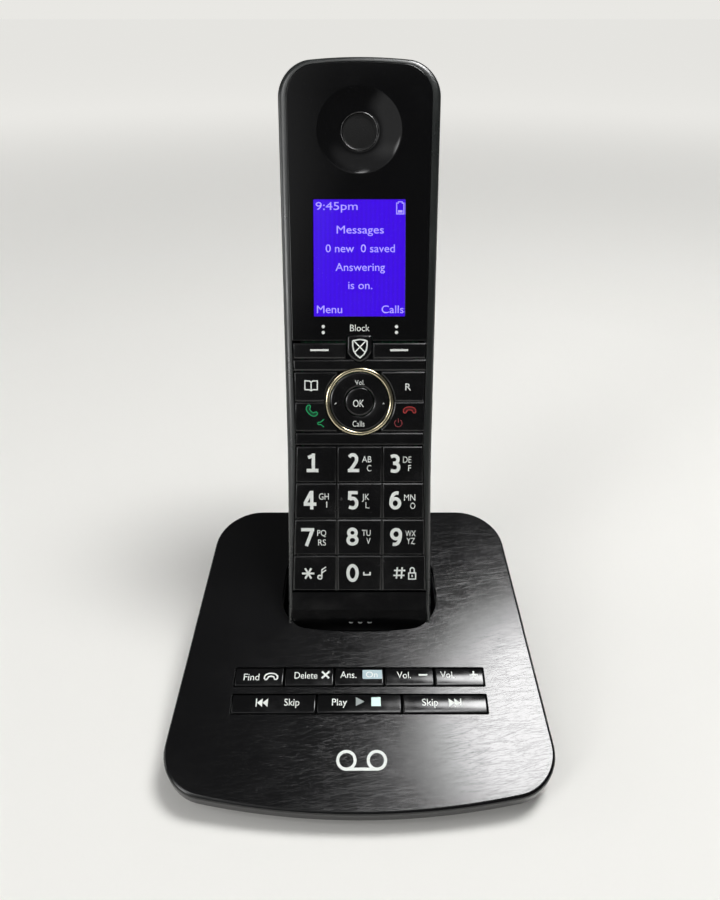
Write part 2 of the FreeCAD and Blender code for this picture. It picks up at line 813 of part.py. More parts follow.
def handset_inside():
    """Key mat, board, display, receiver, microphone and ringer."""
    mat = block("mat_blank", HANDSET, ("-board_half + mat_border", "board_half - mat_border"),
                ("pad_bottom", "soft_top - mat_border"), (BOARD_FACE, MAT_TOP))
    hole = rod("mat_hole", HANDSET, ("0", "nav_middle"), (BOARD_BACK, "0"), "rocker_radius + mat_hole_gap")
    keep(cut("mat_cut", mat, [hole]), "keymat")
    keep(block("handset_board", HANDSET, ("-board_half", "board_half"), ("board_bottom", "board_top"),
               (BOARD_BACK, BOARD_FACE)), "handset_pcb")
    half_wide = "display_wide / 2 + module_border"
    half_tall = "display_tall / 2 + module_border"
    keep(block("display_block", HANDSET, ("-(%s)" % half_wide, half_wide), ("-(%s)" % half_tall, half_tall),
               ("-face_wall - module_thick", "-face_wall")), "display_module")
    boss = "-dish_depth - lens_thick"
    keep(rod("receiver_can", HANDSET, ("0", "dish_height"), (boss + " - receiver_thick", boss),
             "receiver_radius"), "receiver")
    keep(rod("microphone_can", HANDSET, ("0", "microphone_height"),
             (BOARD_FACE, "-face_wall - microphone_gap"),
             "microphone_radius"), "microphone")
    keep(rod("ringer_can", HANDSET, ("0", "ringer_height"), (INNER_BACK, INNER_BACK + " + ringer_thick"),
             "ringer_radius"), "ringer_speaker")


def battery():
    """Two cells side by side, their springs, and the plate that links them."""
    cells = []
    contacts = []
    level = INNER_BACK + " + cell_radius + door_gap"
    for side in (-1, 1):
        across = "%d * cell_spacing / 2" % side
        name = "left" if side < 0 else "right"
        can = rod("cell_can_" + name, HANDSET, (across, level),
                  ("cell_foot", "cell_foot + cell_length - cell_tip_long"),
                  "cell_radius", True)
        tip = rod("cell_tip_" + name, HANDSET, (across, level), ("cell_foot", "cell_foot + cell_length"),
                  "cell_tip_radius", True)
        cells.append(joined("cell_" + name, [can, tip]))
        spring = begin("spring_" + name, HANDSET)
        cone = spring.newObject("PartDesign::AdditiveCone", "spring_cone_" + name)
        drive(cone, "Radius1", "spring_wide")
        drive(cone, "Radius2", "spring_narrow")
        drive(cone, "Height", "spring_length")
        cone.Placement = Placement(Vector(), Rotation(FACE_WAY, -90))
        drive(cone, "Placement.Base.x", across)
        drive(cone, "Placement.Base.y", "cell_foot - spring_length")
        drive(cone, "Placement.Base.z", level)
        contacts.append(spring)
    half = "cell_spacing / 2 + cell_radius"
    contacts.append(block("link_plate", HANDSET, ("-(%s)" % half, half),
                          ("cell_foot + cell_length", "door_top"),
                          (level + " - link_plate_half", level + " + link_plate_half")))
    keep(joined("cells", cells), "battery_cells")
    keep(joined("contacts", contacts), "battery_contacts")


def charge_pads():
    """Two plated pads in the foot of the handset."""
    pads = []
    for side in (-1, 1):
        middle = "%d * pad_spacing / 2" % side
        pads.append(block("charge_pad_%s" % ("left" if side < 0 else "right"), HANDSET,
                          (middle + " - pad_wide / 2 + snug", middle + " + pad_wide / 2 - snug"),
                          ("case_foot + pad_recess", "case_foot + pad_recess + pad_thick"),
                          ("-case_thick / 2 - pad_long / 2 + snug", "-case_thick / 2 + pad_long / 2 - snug")))
    keep(joined("charge_pads", pads), "handset_charge_pads")


def case_screws():
    """Two screws from the back of the handset into the front cover."""
    screws = []
    for number, place in enumerate(case_screw_places()):
        head = rod("case_head_%d" % number, HANDSET, place,
                   (INNER_BACK, INNER_BACK + " + screw_head_thick"), "screw_head")
        shank = rod("case_shank_%d" % number, HANDSET, place, (INNER_BACK, "-face_wall - screw_tip"),
                    "screw_radius")
        screws.append(joined("case_screw_%d" % number, [head, shank]))
    keep(joined("case_screws", screws), "handset_screws")


# ---- base ---------------------------------------------------------------------------

WELL_BACK = "face_set_back + (case_thick + well_back_gap) / sin((handset_lean - deck_tilt) * 1 deg)"
DECK_BACK = WELL_BACK + " + deck_behind_well"


def deck_corners(inset, shrink="1"):
    """The deck's outline drawn in by inset; shrink foreshortens its depth."""
    return mirrored_corners((
        ("deck_half_front - (%s)" % inset, "deck_front * (%s) + (%s)" % (shrink, inset)),
        ("deck_half_back - (%s)" % inset, "(%s) * (%s) - (%s)" % (DECK_BACK, shrink, inset)),
    ))


def deck_block(name, frame, inset, low, high, shrink="1"):
    """A solid of the deck's outline with its four corners rounded."""
    body = begin(name, frame)
    pad(body, deck_corners(inset, shrink), low, high, {3: "deck_front_arc"})
    fillet(body, "deck_corner_back - (%s)" % inset, upright_at(1))
    fillet(body, "deck_corner_front - (%s)" % inset, upright_at(-1))
    return body


def well(name, grow, foot):
    """The prism that the cradle cup holds free, square to the handset, open at the deck."""
    body = begin(name, HANDSET)
    right = (("well_half_back + (%s)" % grow, "-case_thick - well_back_gap - (%s)" % grow),
             ("well_half_front + (%s)" % grow, "well_front + (%s)" % grow))
    pad(body, mirrored_corners(right), "-well_mouth", "-(%s)" % foot, {1: "well_front_arc"}, "XZ_Plane")
    front = value("well_front + (%s)" % grow)
    along = lambda edge: edge.BoundBox.YLength > 1 and edge.BoundBox.XLength < ON_LEVEL
    fillet(body, "well_corner_front + (%s)" % grow,
           lambda edge: along(edge) and abs(edge.BoundBox.ZMax - front) < 1e-3)
    fillet(body, "well_corner_back + (%s)" % grow,
           lambda edge: along(edge) and abs(edge.BoundBox.ZMax - front) > 1)
    return body


def column_places():
    """The four places where a screw joins tray and deck."""
    return [("%d * column_half_%s" % (side, end), "column_" + end)
            for end in ("front", "back") for side in (-1, 1)]


def over_deck(name, level):
    """Everything above one level of the deck."""
    return block(name, DECK, ("-far_side", "far_side"), ("-far_side", "far_side"),
                 (level, level + " + far_side"))


def button_slots():
    """The two long slots that the button rows stand in."""
    rows = (("row_one", "row_one_front", "row_one_back"), ("row_two", "row_two_front", "row_two_back"))
    return [block(name + "_slot", DECK, ("-button_row_half - slot_gap", "button_row_half + slot_gap"),
                  (near + " - slot_gap", far + " + slot_gap"), ("-deck_thick - overcut", "overcut"))
            for name, near, far in rows]


def top_cover():
    """The sloping deck with its rim, cradle opening, button slots and screw bosses."""
    outer = deck_block("deck_outer", DECK, "0", "-deck_rim", "0")
    fillet(outer, "deck_round", at_level("0"))
    hollow = deck_block("deck_hollow", DECK, "rim_wall", "-deck_rim - overcut", "-deck_thick")
    shell = cut("deck_shell", outer, [hollow])
    bosses = []
    for number, place in enumerate(column_places()):
        bosses.append(rod("deck_boss_%d" % number, BENCH, place, ("column_split", "far_side"),
                          "column_radius"))
    for side in (-1, 1):
        for end, sign in (("front", "+"), ("back", "-")):
            bosses.append(rod("board_boss_%s_%d" % (end, side + 1), DECK,
                              ("%d * (button_board_half - board_boss_radius)" % side,
                               "button_board_%s %s 2 * board_boss_radius" % (end, sign)),
                              ("-button_deep - button_room - button_mat_thick", "-deck_thick / 2"),
                              "board_boss_radius"))
    trimmed = cut("deck_bosses", joined("deck_boss_blanks", bosses),
                  [over_deck("deck_skin", "-deck_thick / 2")])
    tools = button_slots() + [well("deck_opening", "0", "case_foot")]
    for number, place in enumerate(column_places()):
        tools.append(rod("deck_boss_hole_%d" % number, BENCH, place,
                         ("0", "column_split + screw_bite + screw_tip"),
                         "screw_radius + snug"))
    keep(cut("top_cover_cut", joined("deck_solid", [shell, trimmed]), tools), "base_top_cover")


def cradle_cup():
    """A slanted cup under the deck that holds the foot of the handset."""
    outer = well("cup_outer", "well_wall", "case_foot - dock_gap - well_wall")
    inner = well("cup_inner", "0", "case_foot - dock_gap")
    tools = [inner, over_deck("cup_trim", "-deck_thick")]
    for side in (-1, 1):
        tools.append(contact_block("contact_slot_%d" % (side + 1), side, "contact_gap",
                                   "case_foot - case_thick", "case_foot + overcut"))
    keep(cut("cup_cut", outer, tools), "cradle_cup")


def contact_block(name, side, grow, low, high):
    """The space of one charging contact, along the handset's length."""
    middle = "%d * pad_spacing / 2" % side
    return block(name, HANDSET,
                 (middle + " - contact_wide / 2 - (%s)" % grow, middle + " + contact_wide / 2 + (%s)" % grow),
                 (low, high),
                 ("-case_thick / 2 - contact_long / 2 - (%s)" % grow,
                  "-case_thick / 2 + contact_long / 2 + (%s)" % grow))


def charge_contacts():
    """Two sprung blades that press on the handset's pads."""
    top = "case_foot + pad_recess - contact_gap"
    for side, label in ((-1, "charge_contact_left"), (1, "charge_contact_right")):
        keep(contact_block(label + "_blade", side, "0", top + " - contact_tall", top), label)


TRAY_FLOOR = "tray_lift + tray_thick"
TRAY_SHRINK = "cos(deck_tilt * 1 deg)"
BOARD_LEVEL = TRAY_FLOOR + " + standoff_height"
SOCKET_LEVEL = BOARD_LEVEL + " + base_board_thick"
TRAY_BACK = "(%s) * %s - tray_inset" % (DECK_BACK, TRAY_SHRINK)


def socket(label, wide, mouth_wide, middle):
    """A modular socket with its mouth to the rear."""
    shell = block(label + "_shell", BENCH, (middle + " - %s / 2" % wide, middle + " + %s / 2" % wide),
                  (TRAY_BACK + " - socket_deep", TRAY_BACK), (SOCKET_LEVEL, SOCKET_LEVEL + " + socket_tall"))
    low = "%s + (socket_tall - socket_mouth_tall) / 2" % SOCKET_LEVEL
    mouth = block(label + "_mouth", BENCH,
                  (middle + " - %s / 2" % mouth_wide, middle + " + %s / 2" % mouth_wide),
                  (TRAY_BACK + " - socket_mouth_deep", TRAY_BACK + " + overcut"),
                  (low, low + " + socket_mouth_tall"))
    keep(cut(label + "_cut", shell, [mouth]), label)


def socket_window(name, wide, middle):
    """The opening in the rear wall round a socket."""
    return block(name, BENCH,
                 (middle + " - %s / 2 - socket_gap" % wide, middle + " + %s / 2 + socket_gap" % wide),
                 (TRAY_BACK + " - socket_deep", TRAY_BACK + " + socket_deep"),
                 (SOCKET_LEVEL + " - socket_gap", SOCKET_LEVEL + " + socket_tall + socket_gap"))


def bottom_cover():
    """The tray under the deck: walls up to the deck, columns, standoffs and sound holes."""
    outer = deck_block("tray_outer", BENCH, "tray_inset", "tray_lift", "far_side / 2", TRAY_SHRINK)
    inner = deck_block("tray_inner", BENCH, "tray_inset + tray_side", TRAY_FLOOR, "far_side", TRAY_SHRINK)
    inside = [cut("tray_shell", outer, [inner])]
    for number, place in enumerate(column_places()):
        inside.append(rod("column_%d" % number, BENCH, place, ("tray_lift", "column_split"),
                          "column_radius"))
    for number, (across, along) in enumerate(standoff_places()):
        inside.append(rod("standoff_%d" % number, BENCH, (across, along), ("tray_lift", BOARD_LEVEL),
                          "standoff_radius"))
    tools = [over_deck("tray_trim", "-deck_thick"),
             ring_of_holes("speaker_holes", BENCH, ("0", "speaker_middle"),
                           ("-overcut", TRAY_FLOOR + " + overcut"),
                           "speaker_hole_pitch", 4),
             socket_window("line_window", "line_wide", "line_middle"),
             socket_window("power_window", "power_wide", "power_middle")]
    for number, place in enumerate(column_places()):
        tools.append(rod("column_hole_%d" % number, BENCH, place, ("-overcut", "column_split + overcut"),
                         "screw_radius + loose"))
        tools.append(rod("column_sink_%d" % number, BENCH, place,
                         ("-overcut", "tray_lift + screw_sunk + screw_head_thick"),
                         "screw_head + loose"))
    for number, place in enumerate(foot_places()):
        tools.append(rod("foot_seat_%d" % number, BENCH, place, ("-overcut", "tray_lift + foot_sunk"),
                         "foot_radius + loose / 2"))
    keep(cut("bottom_cover_cut", joined("tray_solid", inside), tools), "base_bottom_cover")


def standoff_places():
    """Where the main board rests on the tray."""
    ends = ("base_board_front + standoff_inset", "base_board_back - standoff_inset")
    return [("%d * (base_board_half - standoff_inset)" % side, along) for side in (-1, 1) for along in ends]


def foot_places():
    """Where the four rubber feet are glued."""
    return [("%d * foot_half_%s" % (side, end), "foot_" + end)
            for end in ("front", "back") for side in (-1, 1)]


def feet():
    """Four rubber discs let into the underside."""
    discs = [rod("foot_%d" % number, BENCH, place, ("0", "tray_lift + foot_sunk"), "foot_radius")
             for number, place in enumerate(foot_places())]
    keep(joined("feet", discs), "base_feet")


def base_screws():
    """Four screws from below through the columns into the deck's bosses."""
    screws = []
    seat = "tray_lift + screw_sunk"
    for number, place in enumerate(column_places()):
        head = rod("base_head_%d" % number, BENCH, place, (seat, seat + " + screw_head_thick"), "screw_head")
        shank = rod("base_shank_%d" % number, BENCH, place, (seat, "column_split + screw_bite"),
                    "screw_radius")
        screws.append(joined("base_screw_%d" % number, [head, shank]))
    keep(joined("tray_screws", screws), "base_screws")


def base_inside():
    """Main board, with room for a cradle cup that reaches it, loudspeaker and the two sockets."""
    board = block("main_board", BENCH, ("-base_board_half", "base_board_half"),
                  ("base_board_front", "base_board_back"), (BOARD_LEVEL, SOCKET_LEVEL))
    cup_room = well("cup_room", "well_wall + loose", "case_foot - dock_gap - well_wall - loose")
    keep(cut("main_board_cut", board, [cup_room]), "base_pcb")
    keep(rod("speaker_can", BENCH, ("0", "speaker_middle"), (TRAY_FLOOR, TRAY_FLOOR + " + speaker_thick"),
             "speaker_radius"), "base_speaker")
    socket("line_socket", "line_wide", "line_mouth_wide", "line_middle")
    socket("power_socket", "power_wide", "power_mouth_wide", "power_middle")


def deck_buttons():
    """Two rows of message buttons, each with a flange under the deck."""
    rows = ((ROW_ONE, "row_one_front", "row_one_back"), (ROW_TWO, "row_two_front", "row_two_back"))
    for labels, near, far in rows:
        count = len(labels)
        for number, label in enumerate(labels):
            left = "-button_row_half + 2 * button_row_half * %d / %d" % (number, count)
            right = "-button_row_half + 2 * button_row_half * %d / %d" % (number + 1, count)
            left += " + button_gap / 2" if number else ""
            right += " - button_gap / 2" if number < count - 1 else ""
            cap = block(label + "_cap", DECK, (left, right), (near, far), ("-button_deep", "button_proud"))
            fillet_tip(cap, "button_round", "button_proud")
            flange = block(label + "_flange", DECK, (left, right),
                           (near + " - flange_wide", far + " + flange_wide"),
                           ("-button_deep", "-button_deep + flange_thick"))
            keep(joined(label + "_solid", [cap, flange]), label)


def button_support():
    """The rubber mat under the buttons and the small board that carries it."""
    mat_top = "-button_deep - button_room"
    mat_back = mat_top + " - button_mat_thick"
    keep(block("button_mat", DECK, ("-button_row_half - mat_border", "button_row_half + mat_border"),
               ("button_board_front + mat_border / 2", "button_board_back - mat_border / 2"),
               (mat_back, mat_top)), "base_button_mat")
    keep(block("small_board", DECK, ("-button_board_half", "button_board_half"),
               ("button_board_front", "button_board_back"), (mat_back + " - button_board_thick", mat_back)),
         "button_board")


# ---- assembly -----------------------------------------------------------------------

front_cover()
rear_cover()
battery_cover()
lens()
earpiece()
handset_inside()
battery()
charge_pads()
case_screws()
nav_cluster()
number_keys()
command_keys()
top_cover()
bottom_cover()
cradle_cup()
charge_contacts()
base_inside()
button_support()
deck_buttons()
feet()
base_screws()
doc.recompute()

failed = [thing.Name for thing in doc.Objects if "Invalid" in thing.State or "Error" in thing.State]
if failed:
    raise ValueError("these features failed: " + ", ".join(failed))
for piece in pieces:
    if piece.Shape.isNull() or not piece.Shape.isValid():
        raise ValueError(piece.Label + " has no valid shape")
os.makedirs("parts", exist_ok=True)
for piece in pieces:
    piece.Shape.exportStep("parts/%s.step" % piece.Label)
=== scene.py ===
import math

import bmesh
import bpy
from mathutils import Matrix, Vector


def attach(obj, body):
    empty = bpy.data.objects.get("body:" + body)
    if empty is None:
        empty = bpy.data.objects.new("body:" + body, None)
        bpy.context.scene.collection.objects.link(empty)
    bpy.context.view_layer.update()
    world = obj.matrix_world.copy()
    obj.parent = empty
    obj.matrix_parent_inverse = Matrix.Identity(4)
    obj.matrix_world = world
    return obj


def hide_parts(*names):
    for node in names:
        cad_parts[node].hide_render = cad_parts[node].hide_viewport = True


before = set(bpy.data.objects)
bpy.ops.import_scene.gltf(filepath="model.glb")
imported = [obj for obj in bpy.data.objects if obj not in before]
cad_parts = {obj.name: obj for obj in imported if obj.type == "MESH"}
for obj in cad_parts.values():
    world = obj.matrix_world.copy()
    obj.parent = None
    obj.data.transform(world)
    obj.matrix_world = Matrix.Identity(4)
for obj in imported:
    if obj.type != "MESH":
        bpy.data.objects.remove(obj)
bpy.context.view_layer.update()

# ---- the view ----
# A short lens close to the telephone, held a hand's height above the handset and looking
# down at it, so that the deck is seen from above and the face nearly square on.

EYE = (0.00018, -0.18826, 0.19139)
LOOKING_DOWN = 31
LENS_MM = 28.88
FILM_MM = 36

scene = bpy.context.scene
scene.view_settings.view_transform = "Standard"
camera_data = bpy.data.cameras.new("camera")
camera_data.lens = LENS_MM
camera_data.sensor_width = FILM_MM
camera_data.sensor_fit = "AUTO"
camera_data.clip_start = 0.01
camera = bpy.data.objects.new("camera", camera_data)
camera.location = EYE
camera.rotation_euler = (math.radians(90 - LOOKING_DOWN), 0, 0)
scene.collection.objects.link(camera)
scene.camera = camera

# ---- the floor and the studio light ----
# A floor of pale matt paper, a dim even room and seven feathered softboxes. The one high
# on the right lays its glare on the deck; those on the left draw the handset's edge.

PAPER = "E9E8E4"
PAPER_TOOTH_MM = 1.11
FLOOR_HALF = 60.0
# The floor glows by its distance from the telephone, in metres, as a lit backdrop would.
FLOOR_LIFT_FROM = -0.3
FLOOR_LIFT_TO = 1.9
FLOOR_LIFT = 0.89
ROOM_LEVEL = 0.07
# Gloss sees the backdrop up to this height: where it starts to fade, and where it ends.
BACKDROP_TOP = (-0.03, 0.09)
# Each softbox fades from this share of its width off its middle to this one.
SOFTBOX_EDGE = (0.26, 0.5)
SOFTBOXES = (
    # name, place, aimed at, width, height, watts
    ("right_softbox", (0.262, 0.08, 0.82), (0.03, -0.02, 0.03), 0.37, 0.43, 11.4),
    ("left_softbox", (-0.38, -0.30, 0.72), (0.0, 0.02, 0.14), 0.22, 0.32, 1.3),
    ("strip_softbox", (0.10, -0.17, 1.10), (0.0, 0.0, 0.08), 0.50, 0.10, 1.3),
    ("fill_softbox", (-0.10, -0.60, 1.30), (0.0, 0.0, 0.06), 1.20, 0.70, 0.7),
    ("window_softbox", (-0.52, -0.85, 0.84), (0.0, 0.02, 0.14), 1.10, 1.40, 2.3),
    ("flank_softbox", (-0.86, -0.72, 0.60), (0.0, 0.02, 0.14), 0.50, 0.50, 7.5),
    ("low_softbox", (-1.20, 0.06, 0.46), (0.0, 0.0, 0.04), 0.70, 0.50, 3.0),
)


def linear(code):
    """An sRGB hex colour as linear red, green, blue and alpha."""
    parts = [int(code[place:place + 2], 16) / 255 for place in (0, 2, 4)]
    return tuple(c / 12.92 if c <= 0.04045 else ((c + 0.055) / 1.055) ** 2.4 for c in parts) + (1.0,)


def add(tree, kind, sockets=None, **settings):
    """Add a shader node with its settings, and fill its sockets by name or number.

    A hex code is a colour, and a node in a socket's place is linked by its first output.
    """
    node = tree.nodes.new("ShaderNode" + kind)
    for name, setting in settings.items():
        setattr(node, name, setting)
    for name, value in (sockets or {}).items():
        if isinstance(value, bpy.types.Node):
            value = value.outputs[0]
        if isinstance(value, bpy.types.NodeSocket):
            tree.links.new(value, node.inputs[name])
        else:
            node.inputs[name].default_value = linear(value) if isinstance(value, str) else value
    return node


def material(name):
    """An empty material and its node tree."""
    made = bpy.data.materials.new(name)
    made.use_nodes = True
    made.node_tree.nodes.clear()
    return made, made.node_tree


def textured(tree, kind, size_mm, sockets=None, **settings):
    """A texture in the piece's own frame, whose features are so many millimetres long."""
    sizes = size_mm if isinstance(size_mm, tuple) else (size_mm,) * 3
    where = add(tree, "TexCoord")
    drawn = add(tree, "Mapping", {
        "Vector": where.outputs["Object"], "Scale": tuple(1000 / size for size in sizes)})
    return add(tree, kind, {"Vector": drawn, "Scale": 1.0, **(sockets or {})}, **settings)


def rays_that_show(tree, in_gloss):
    """1 for rays from the camera, and in_gloss for rays that a gloss or clear surface sends."""
    rays = add(tree, "LightPath")
    gloss = add(tree, "Math", {
        0: rays.outputs["Is Glossy Ray"], 1: rays.outputs["Is Transmission Ray"]}, operation="MAXIMUM")
    share = add(tree, "Math", {0: gloss, 1: in_gloss}, operation="MULTIPLY")
    return add(tree, "Math", {0: rays.outputs["Is Camera Ray"], 1: share}, operation="MAXIMUM")


paper, tree = material("matt_backdrop_paper")
fibre = textured(tree, "TexNoise", PAPER_TOOTH_MM)
tooth = add(tree, "Bump", {"Height": fibre, "Strength": 0.1, "Distance": 0.0001})
where = add(tree, "TexCoord")
away = add(tree, "VectorMath", {0: where.outputs["Object"]}, operation="LENGTH")
far_off = add(tree, "MapRange", {
    "Value": away.outputs["Value"], "From Min": FLOOR_LIFT_FROM, "From Max": FLOOR_LIFT_TO,
    "To Min": 0.0, "To Max": FLOOR_LIFT}, interpolation_type="SMOOTHSTEP")
seen = add(tree, "Math", {0: far_off, 1: rays_that_show(tree, 1.0)}, operation="MULTIPLY")
sheet = add(tree, "BsdfPrincipled", {
    "Base Color": PAPER, "Roughness": 0.9, "Normal": tooth,
    "Emission Color": PAPER, "Emission Strength": seen})
add(tree, "OutputMaterial", {"Surface": sheet})

floor_mesh = bpy.data.meshes.new("floor")
floor_mesh.from_pydata([(x, y, 0) for x, y in ((-FLOOR_HALF, -FLOOR_HALF), (FLOOR_HALF, -FLOOR_HALF),
                                               (FLOOR_HALF, FLOOR_HALF), (-FLOOR_HALF, FLOOR_HALF))],
                       [], [(0, 1, 2, 3)])
floor_mesh.materials.append(paper)
floor = bpy.data.objects.new("floor", floor_mesh)
scene.collection.objects.link(floor)

scene.world = bpy.data.worlds.new("studio")
scene.world.use_nodes = True
tree = scene.world.node_tree
tree.nodes.clear()
outward = add(tree, "TexCoord")
height = add(tree, "SeparateXYZ", {"Vector": outward.outputs["Generated"]})
wall = add(tree, "MapRange", {
    "Value": height.outputs["Z"], "From Min": BACKDROP_TOP[0], "From Max": BACKDROP_TOP[1],
    "To Min": 1.0, "To Max": 0.0}, interpolation_type="SMOOTHSTEP")
room = add(tree, "Background", {"Color": "FFFFFF", "Strength": ROOM_LEVEL})
backdrop = add(tree, "Background", {"Color": PAPER, "Strength": 1.0})
both = add(tree, "MixShader", {0: rays_that_show(tree, wall), 1: room, 2: backdrop})
add(tree, "OutputWorld", {"Surface": both})

for name, place, target, width, height, watts in SOFTBOXES:
    lamp = bpy.data.lights.new(name, "AREA")
    lamp.shape = "RECTANGLE"
    lamp.size = width
    lamp.size_y = height
    lamp.energy = watts
    lamp.use_nodes = True
    tree = lamp.node_tree
    tree.nodes.clear()
    across = add(tree, "NewGeometry")
    off_middle = add(tree, "VectorMath", {0: across.outputs["Parametric"], 1: (0.5, 0.5, 0)},
                     operation="DISTANCE")
    cloth = add(tree, "MapRange", {
        "Value": off_middle.outputs["Value"], "From Min": SOFTBOX_EDGE[0], "From Max": SOFTBOX_EDGE[1],
        "To Min": 1.0, "To Max": 0.0}, interpolation_type="SMOOTHSTEP")
    shine = add(tree, "Emission", {"Strength": cloth})
    add(tree, "OutputLight", {"Surface": shine})
    lamp_object = bpy.data.objects.new(name, lamp)
    lamp_object.location = place
    lamp_object.rotation_euler = (Vector(target) - Vector(place)).to_track_quat("-Z", "Y").to_euler()
    scene.collection.objects.link(lamp_object)

# ---- bottom tray, feet and screws ----
# The tray under the base is ABS injected into a spark-eroded tool, which leaves an even
# satin grain. Four rubber discs are glued into it and four zinc-plated screws hold it.

SATIN_BLACK = "131415"
GRAIN_MM = 0.30
THUMB_MM = 16.67
BLOOM_MM = 1.43
TURNING_MM = 0.4
RUBBER_BLACK = "1D1D1C"
ZINC = "B9BCC2"


def ease_edges(piece, radius, angle=50, steps=2):
    """Round every edge of a piece that turns by more than an angle."""
    ease = piece.modifiers.new("eased edges", "BEVEL")
    ease.width = radius
    ease.segments = steps
    ease.limit_method = "ANGLE"
    ease.angle_limit = math.radians(angle)


def finish_node(name, finish, bevel_mm=0):
    """Give a CAD node its finish, with its edges eased where it says so."""
    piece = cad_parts[name]
    piece.data.materials.clear()
    piece.data.materials.append(finish)
    if bevel_mm:
        ease_edges(piece, bevel_mm / 1000)


def surface(name, colour, dull, patch_mm=None, detail=2.0, spread=(0, 1), grain=None, shader=None,
            kind="TexNoise", pattern=None):
    """A finish on a grain that tips its normal, with one roughness or patches between two."""
    made, tree = material(name)
    sockets = {"Base Color": colour, **(shader or {})}
    if grain:
        grain_mm, grain_detail, rough, strength, depth_mm = grain
        pits = textured(tree, "TexNoise", grain_mm, {"Detail": grain_detail, "Roughness": rough})
        sockets["Normal"] = add(tree, "Bump", {
            "Height": pits, "Strength": strength, "Distance": depth_mm / 1000})
    if not patch_mm:
        sockets["Roughness"] = dull
    else:
        patches = textured(tree, kind, patch_mm, pattern or {"Detail": detail})
        sockets["Roughness"] = add(tree, "MapRange", {
            "Value": patches.outputs["Fac"], "From Min": spread[0], "From Max": spread[1],
            "To Min": dull[0], "To Max": dull[1]})
    skin = add(tree, "BsdfPrincipled", sockets)
    add(tree, "OutputMaterial", {"Surface": skin})
    return made


# Satin ABS: the light is spread by grains a quarter of a millimetre across, drawn a little
# coarser than the tool's own, and thumbs have polished it in patches.
satin_abs = surface("satin_moulded_abs", SATIN_BLACK, (0.42, 0.55), THUMB_MM, 4.0, (0.3, 0.7),
                    (GRAIN_MM, 3.0, 0.6, 0.35, 0.04), {"IOR": 1.53})
finish_node("base_bottom_cover", satin_abs)

# Moulded rubber: matt, with a faint dusty bloom.
foot_rubber = surface("moulded_foot_rubber", RUBBER_BLACK, (0.7, 0.95), BLOOM_MM, 4.0,
                      shader={"IOR": 1.52})
finish_node("base_feet", foot_rubber, 0.3)

# Zinc-plated steel: a blue-white metal with a fine turned grain in the head.
zinc_plate = surface("zinc_plated_steel", ZINC, (0.25, 0.45), TURNING_MM, shader={"Metallic": 1.0})
finish_node("base_screws", zinc_plate, 0.15)

# ---- inside the base ----
# A glass-fibre board with green solder mask rests on the tray's standoffs and carries two
# nylon sockets. A pressed steel loudspeaker fires through holes in the tray.

SOLDER_MASK = "0F4A2A"
BARE_GLASS_FIBRE = "16663B"
TRACK_MM = 1.2
ROLLING_MM = (0.333, 8.33, 0.333)
FLOW_MM = 2.5
SPEAKER_STEEL = "8C8F93"
NYLON_BLACK = "161616"

# Solder mask over copper: glossy green whose tracks show through as a paler net.
solder_mask, tree = material("solder_masked_board")
tracks = textured(tree, "TexBrick", 4 * TRACK_MM, {
    "Mortar Size": 0.05, "Color1": SOLDER_MASK, "Color2": SOLDER_MASK,
    "Mortar": BARE_GLASS_FIBRE})
skin = add(tree, "BsdfPrincipled", {
    "Base Color": tracks, "IOR": 1.5, "Roughness": 0.3})
add(tree, "OutputMaterial", {"Surface": skin})
for name in ("base_pcb", "button_board", "handset_pcb"):
    finish_node(name, solder_mask)

# Pressed steel can: dull bare metal with rolling marks.
steel_can = surface("pressed_steel_can", SPEAKER_STEEL, (0.3, 0.5), ROLLING_MM, shader={"Metallic": 1.0})
for name in ("base_speaker", "receiver", "microphone", "ringer_speaker"):
    finish_node(name, steel_can, 0.3)

# Nylon sockets: a waxy black, a little translucent at its edges, with faint flow lines.
socket_nylon = surface("moulded_nylon", NYLON_BLACK, (0.38, 0.46), FLOW_MM, shader={"IOR": 1.53},
                       kind="TexWave", pattern={"Distortion": 6.0})
finish_node("line_socket", socket_nylon, 0.25)
finish_node("power_socket", socket_nylon, 0.25)

# ---- button mat and charging contacts ----
# Grey silicone sheets return the buttons and keys. Two nickel-plated phosphor-bronze
# blades stand in the foot of the cradle and press on the handset's pads.

SILICONE_GREY = "2E2F31"
NICKEL = "D6CFBE"
PEEL_MM = 0.667
RUB_MM = (0.1667, 3.33, 3.33)

# Compression-moulded silicone: soft matt sheen with a slight orange peel.
silicone = surface("moulded_silicone", SILICONE_GREY, 0.6, grain=(PEEL_MM, 2.0, 0.5, 0.2, 0.05),
                   shader={"IOR": 1.41})
finish_node("base_button_mat", silicone, 0.3)
finish_node("keymat", silicone)

# Nickel plate: bright, slightly yellow, rubbed along the blade.
nickel_plate = surface("nickel_plated_bronze", NICKEL, (0.15, 0.35), RUB_MM, shader={"Metallic": 1.0})
for name in ("charge_contact_left", "charge_contact_right", "handset_charge_pads", "battery_contacts"):
    finish_node(name, nickel_plate, 0.15)

# ---- cradle cup ----
# A slanted ABS cup clipped under the deck takes the foot of the handset. It is moulded in
# the tray's satin black, and little light reaches it.

finish_node("cradle_cup", satin_abs)

# ---- deck ----
# The sloping top of the base: one gloss moulding in black ABS with a turned-down rim, a
# D-shaped opening for the handset and two long slots for the buttons.

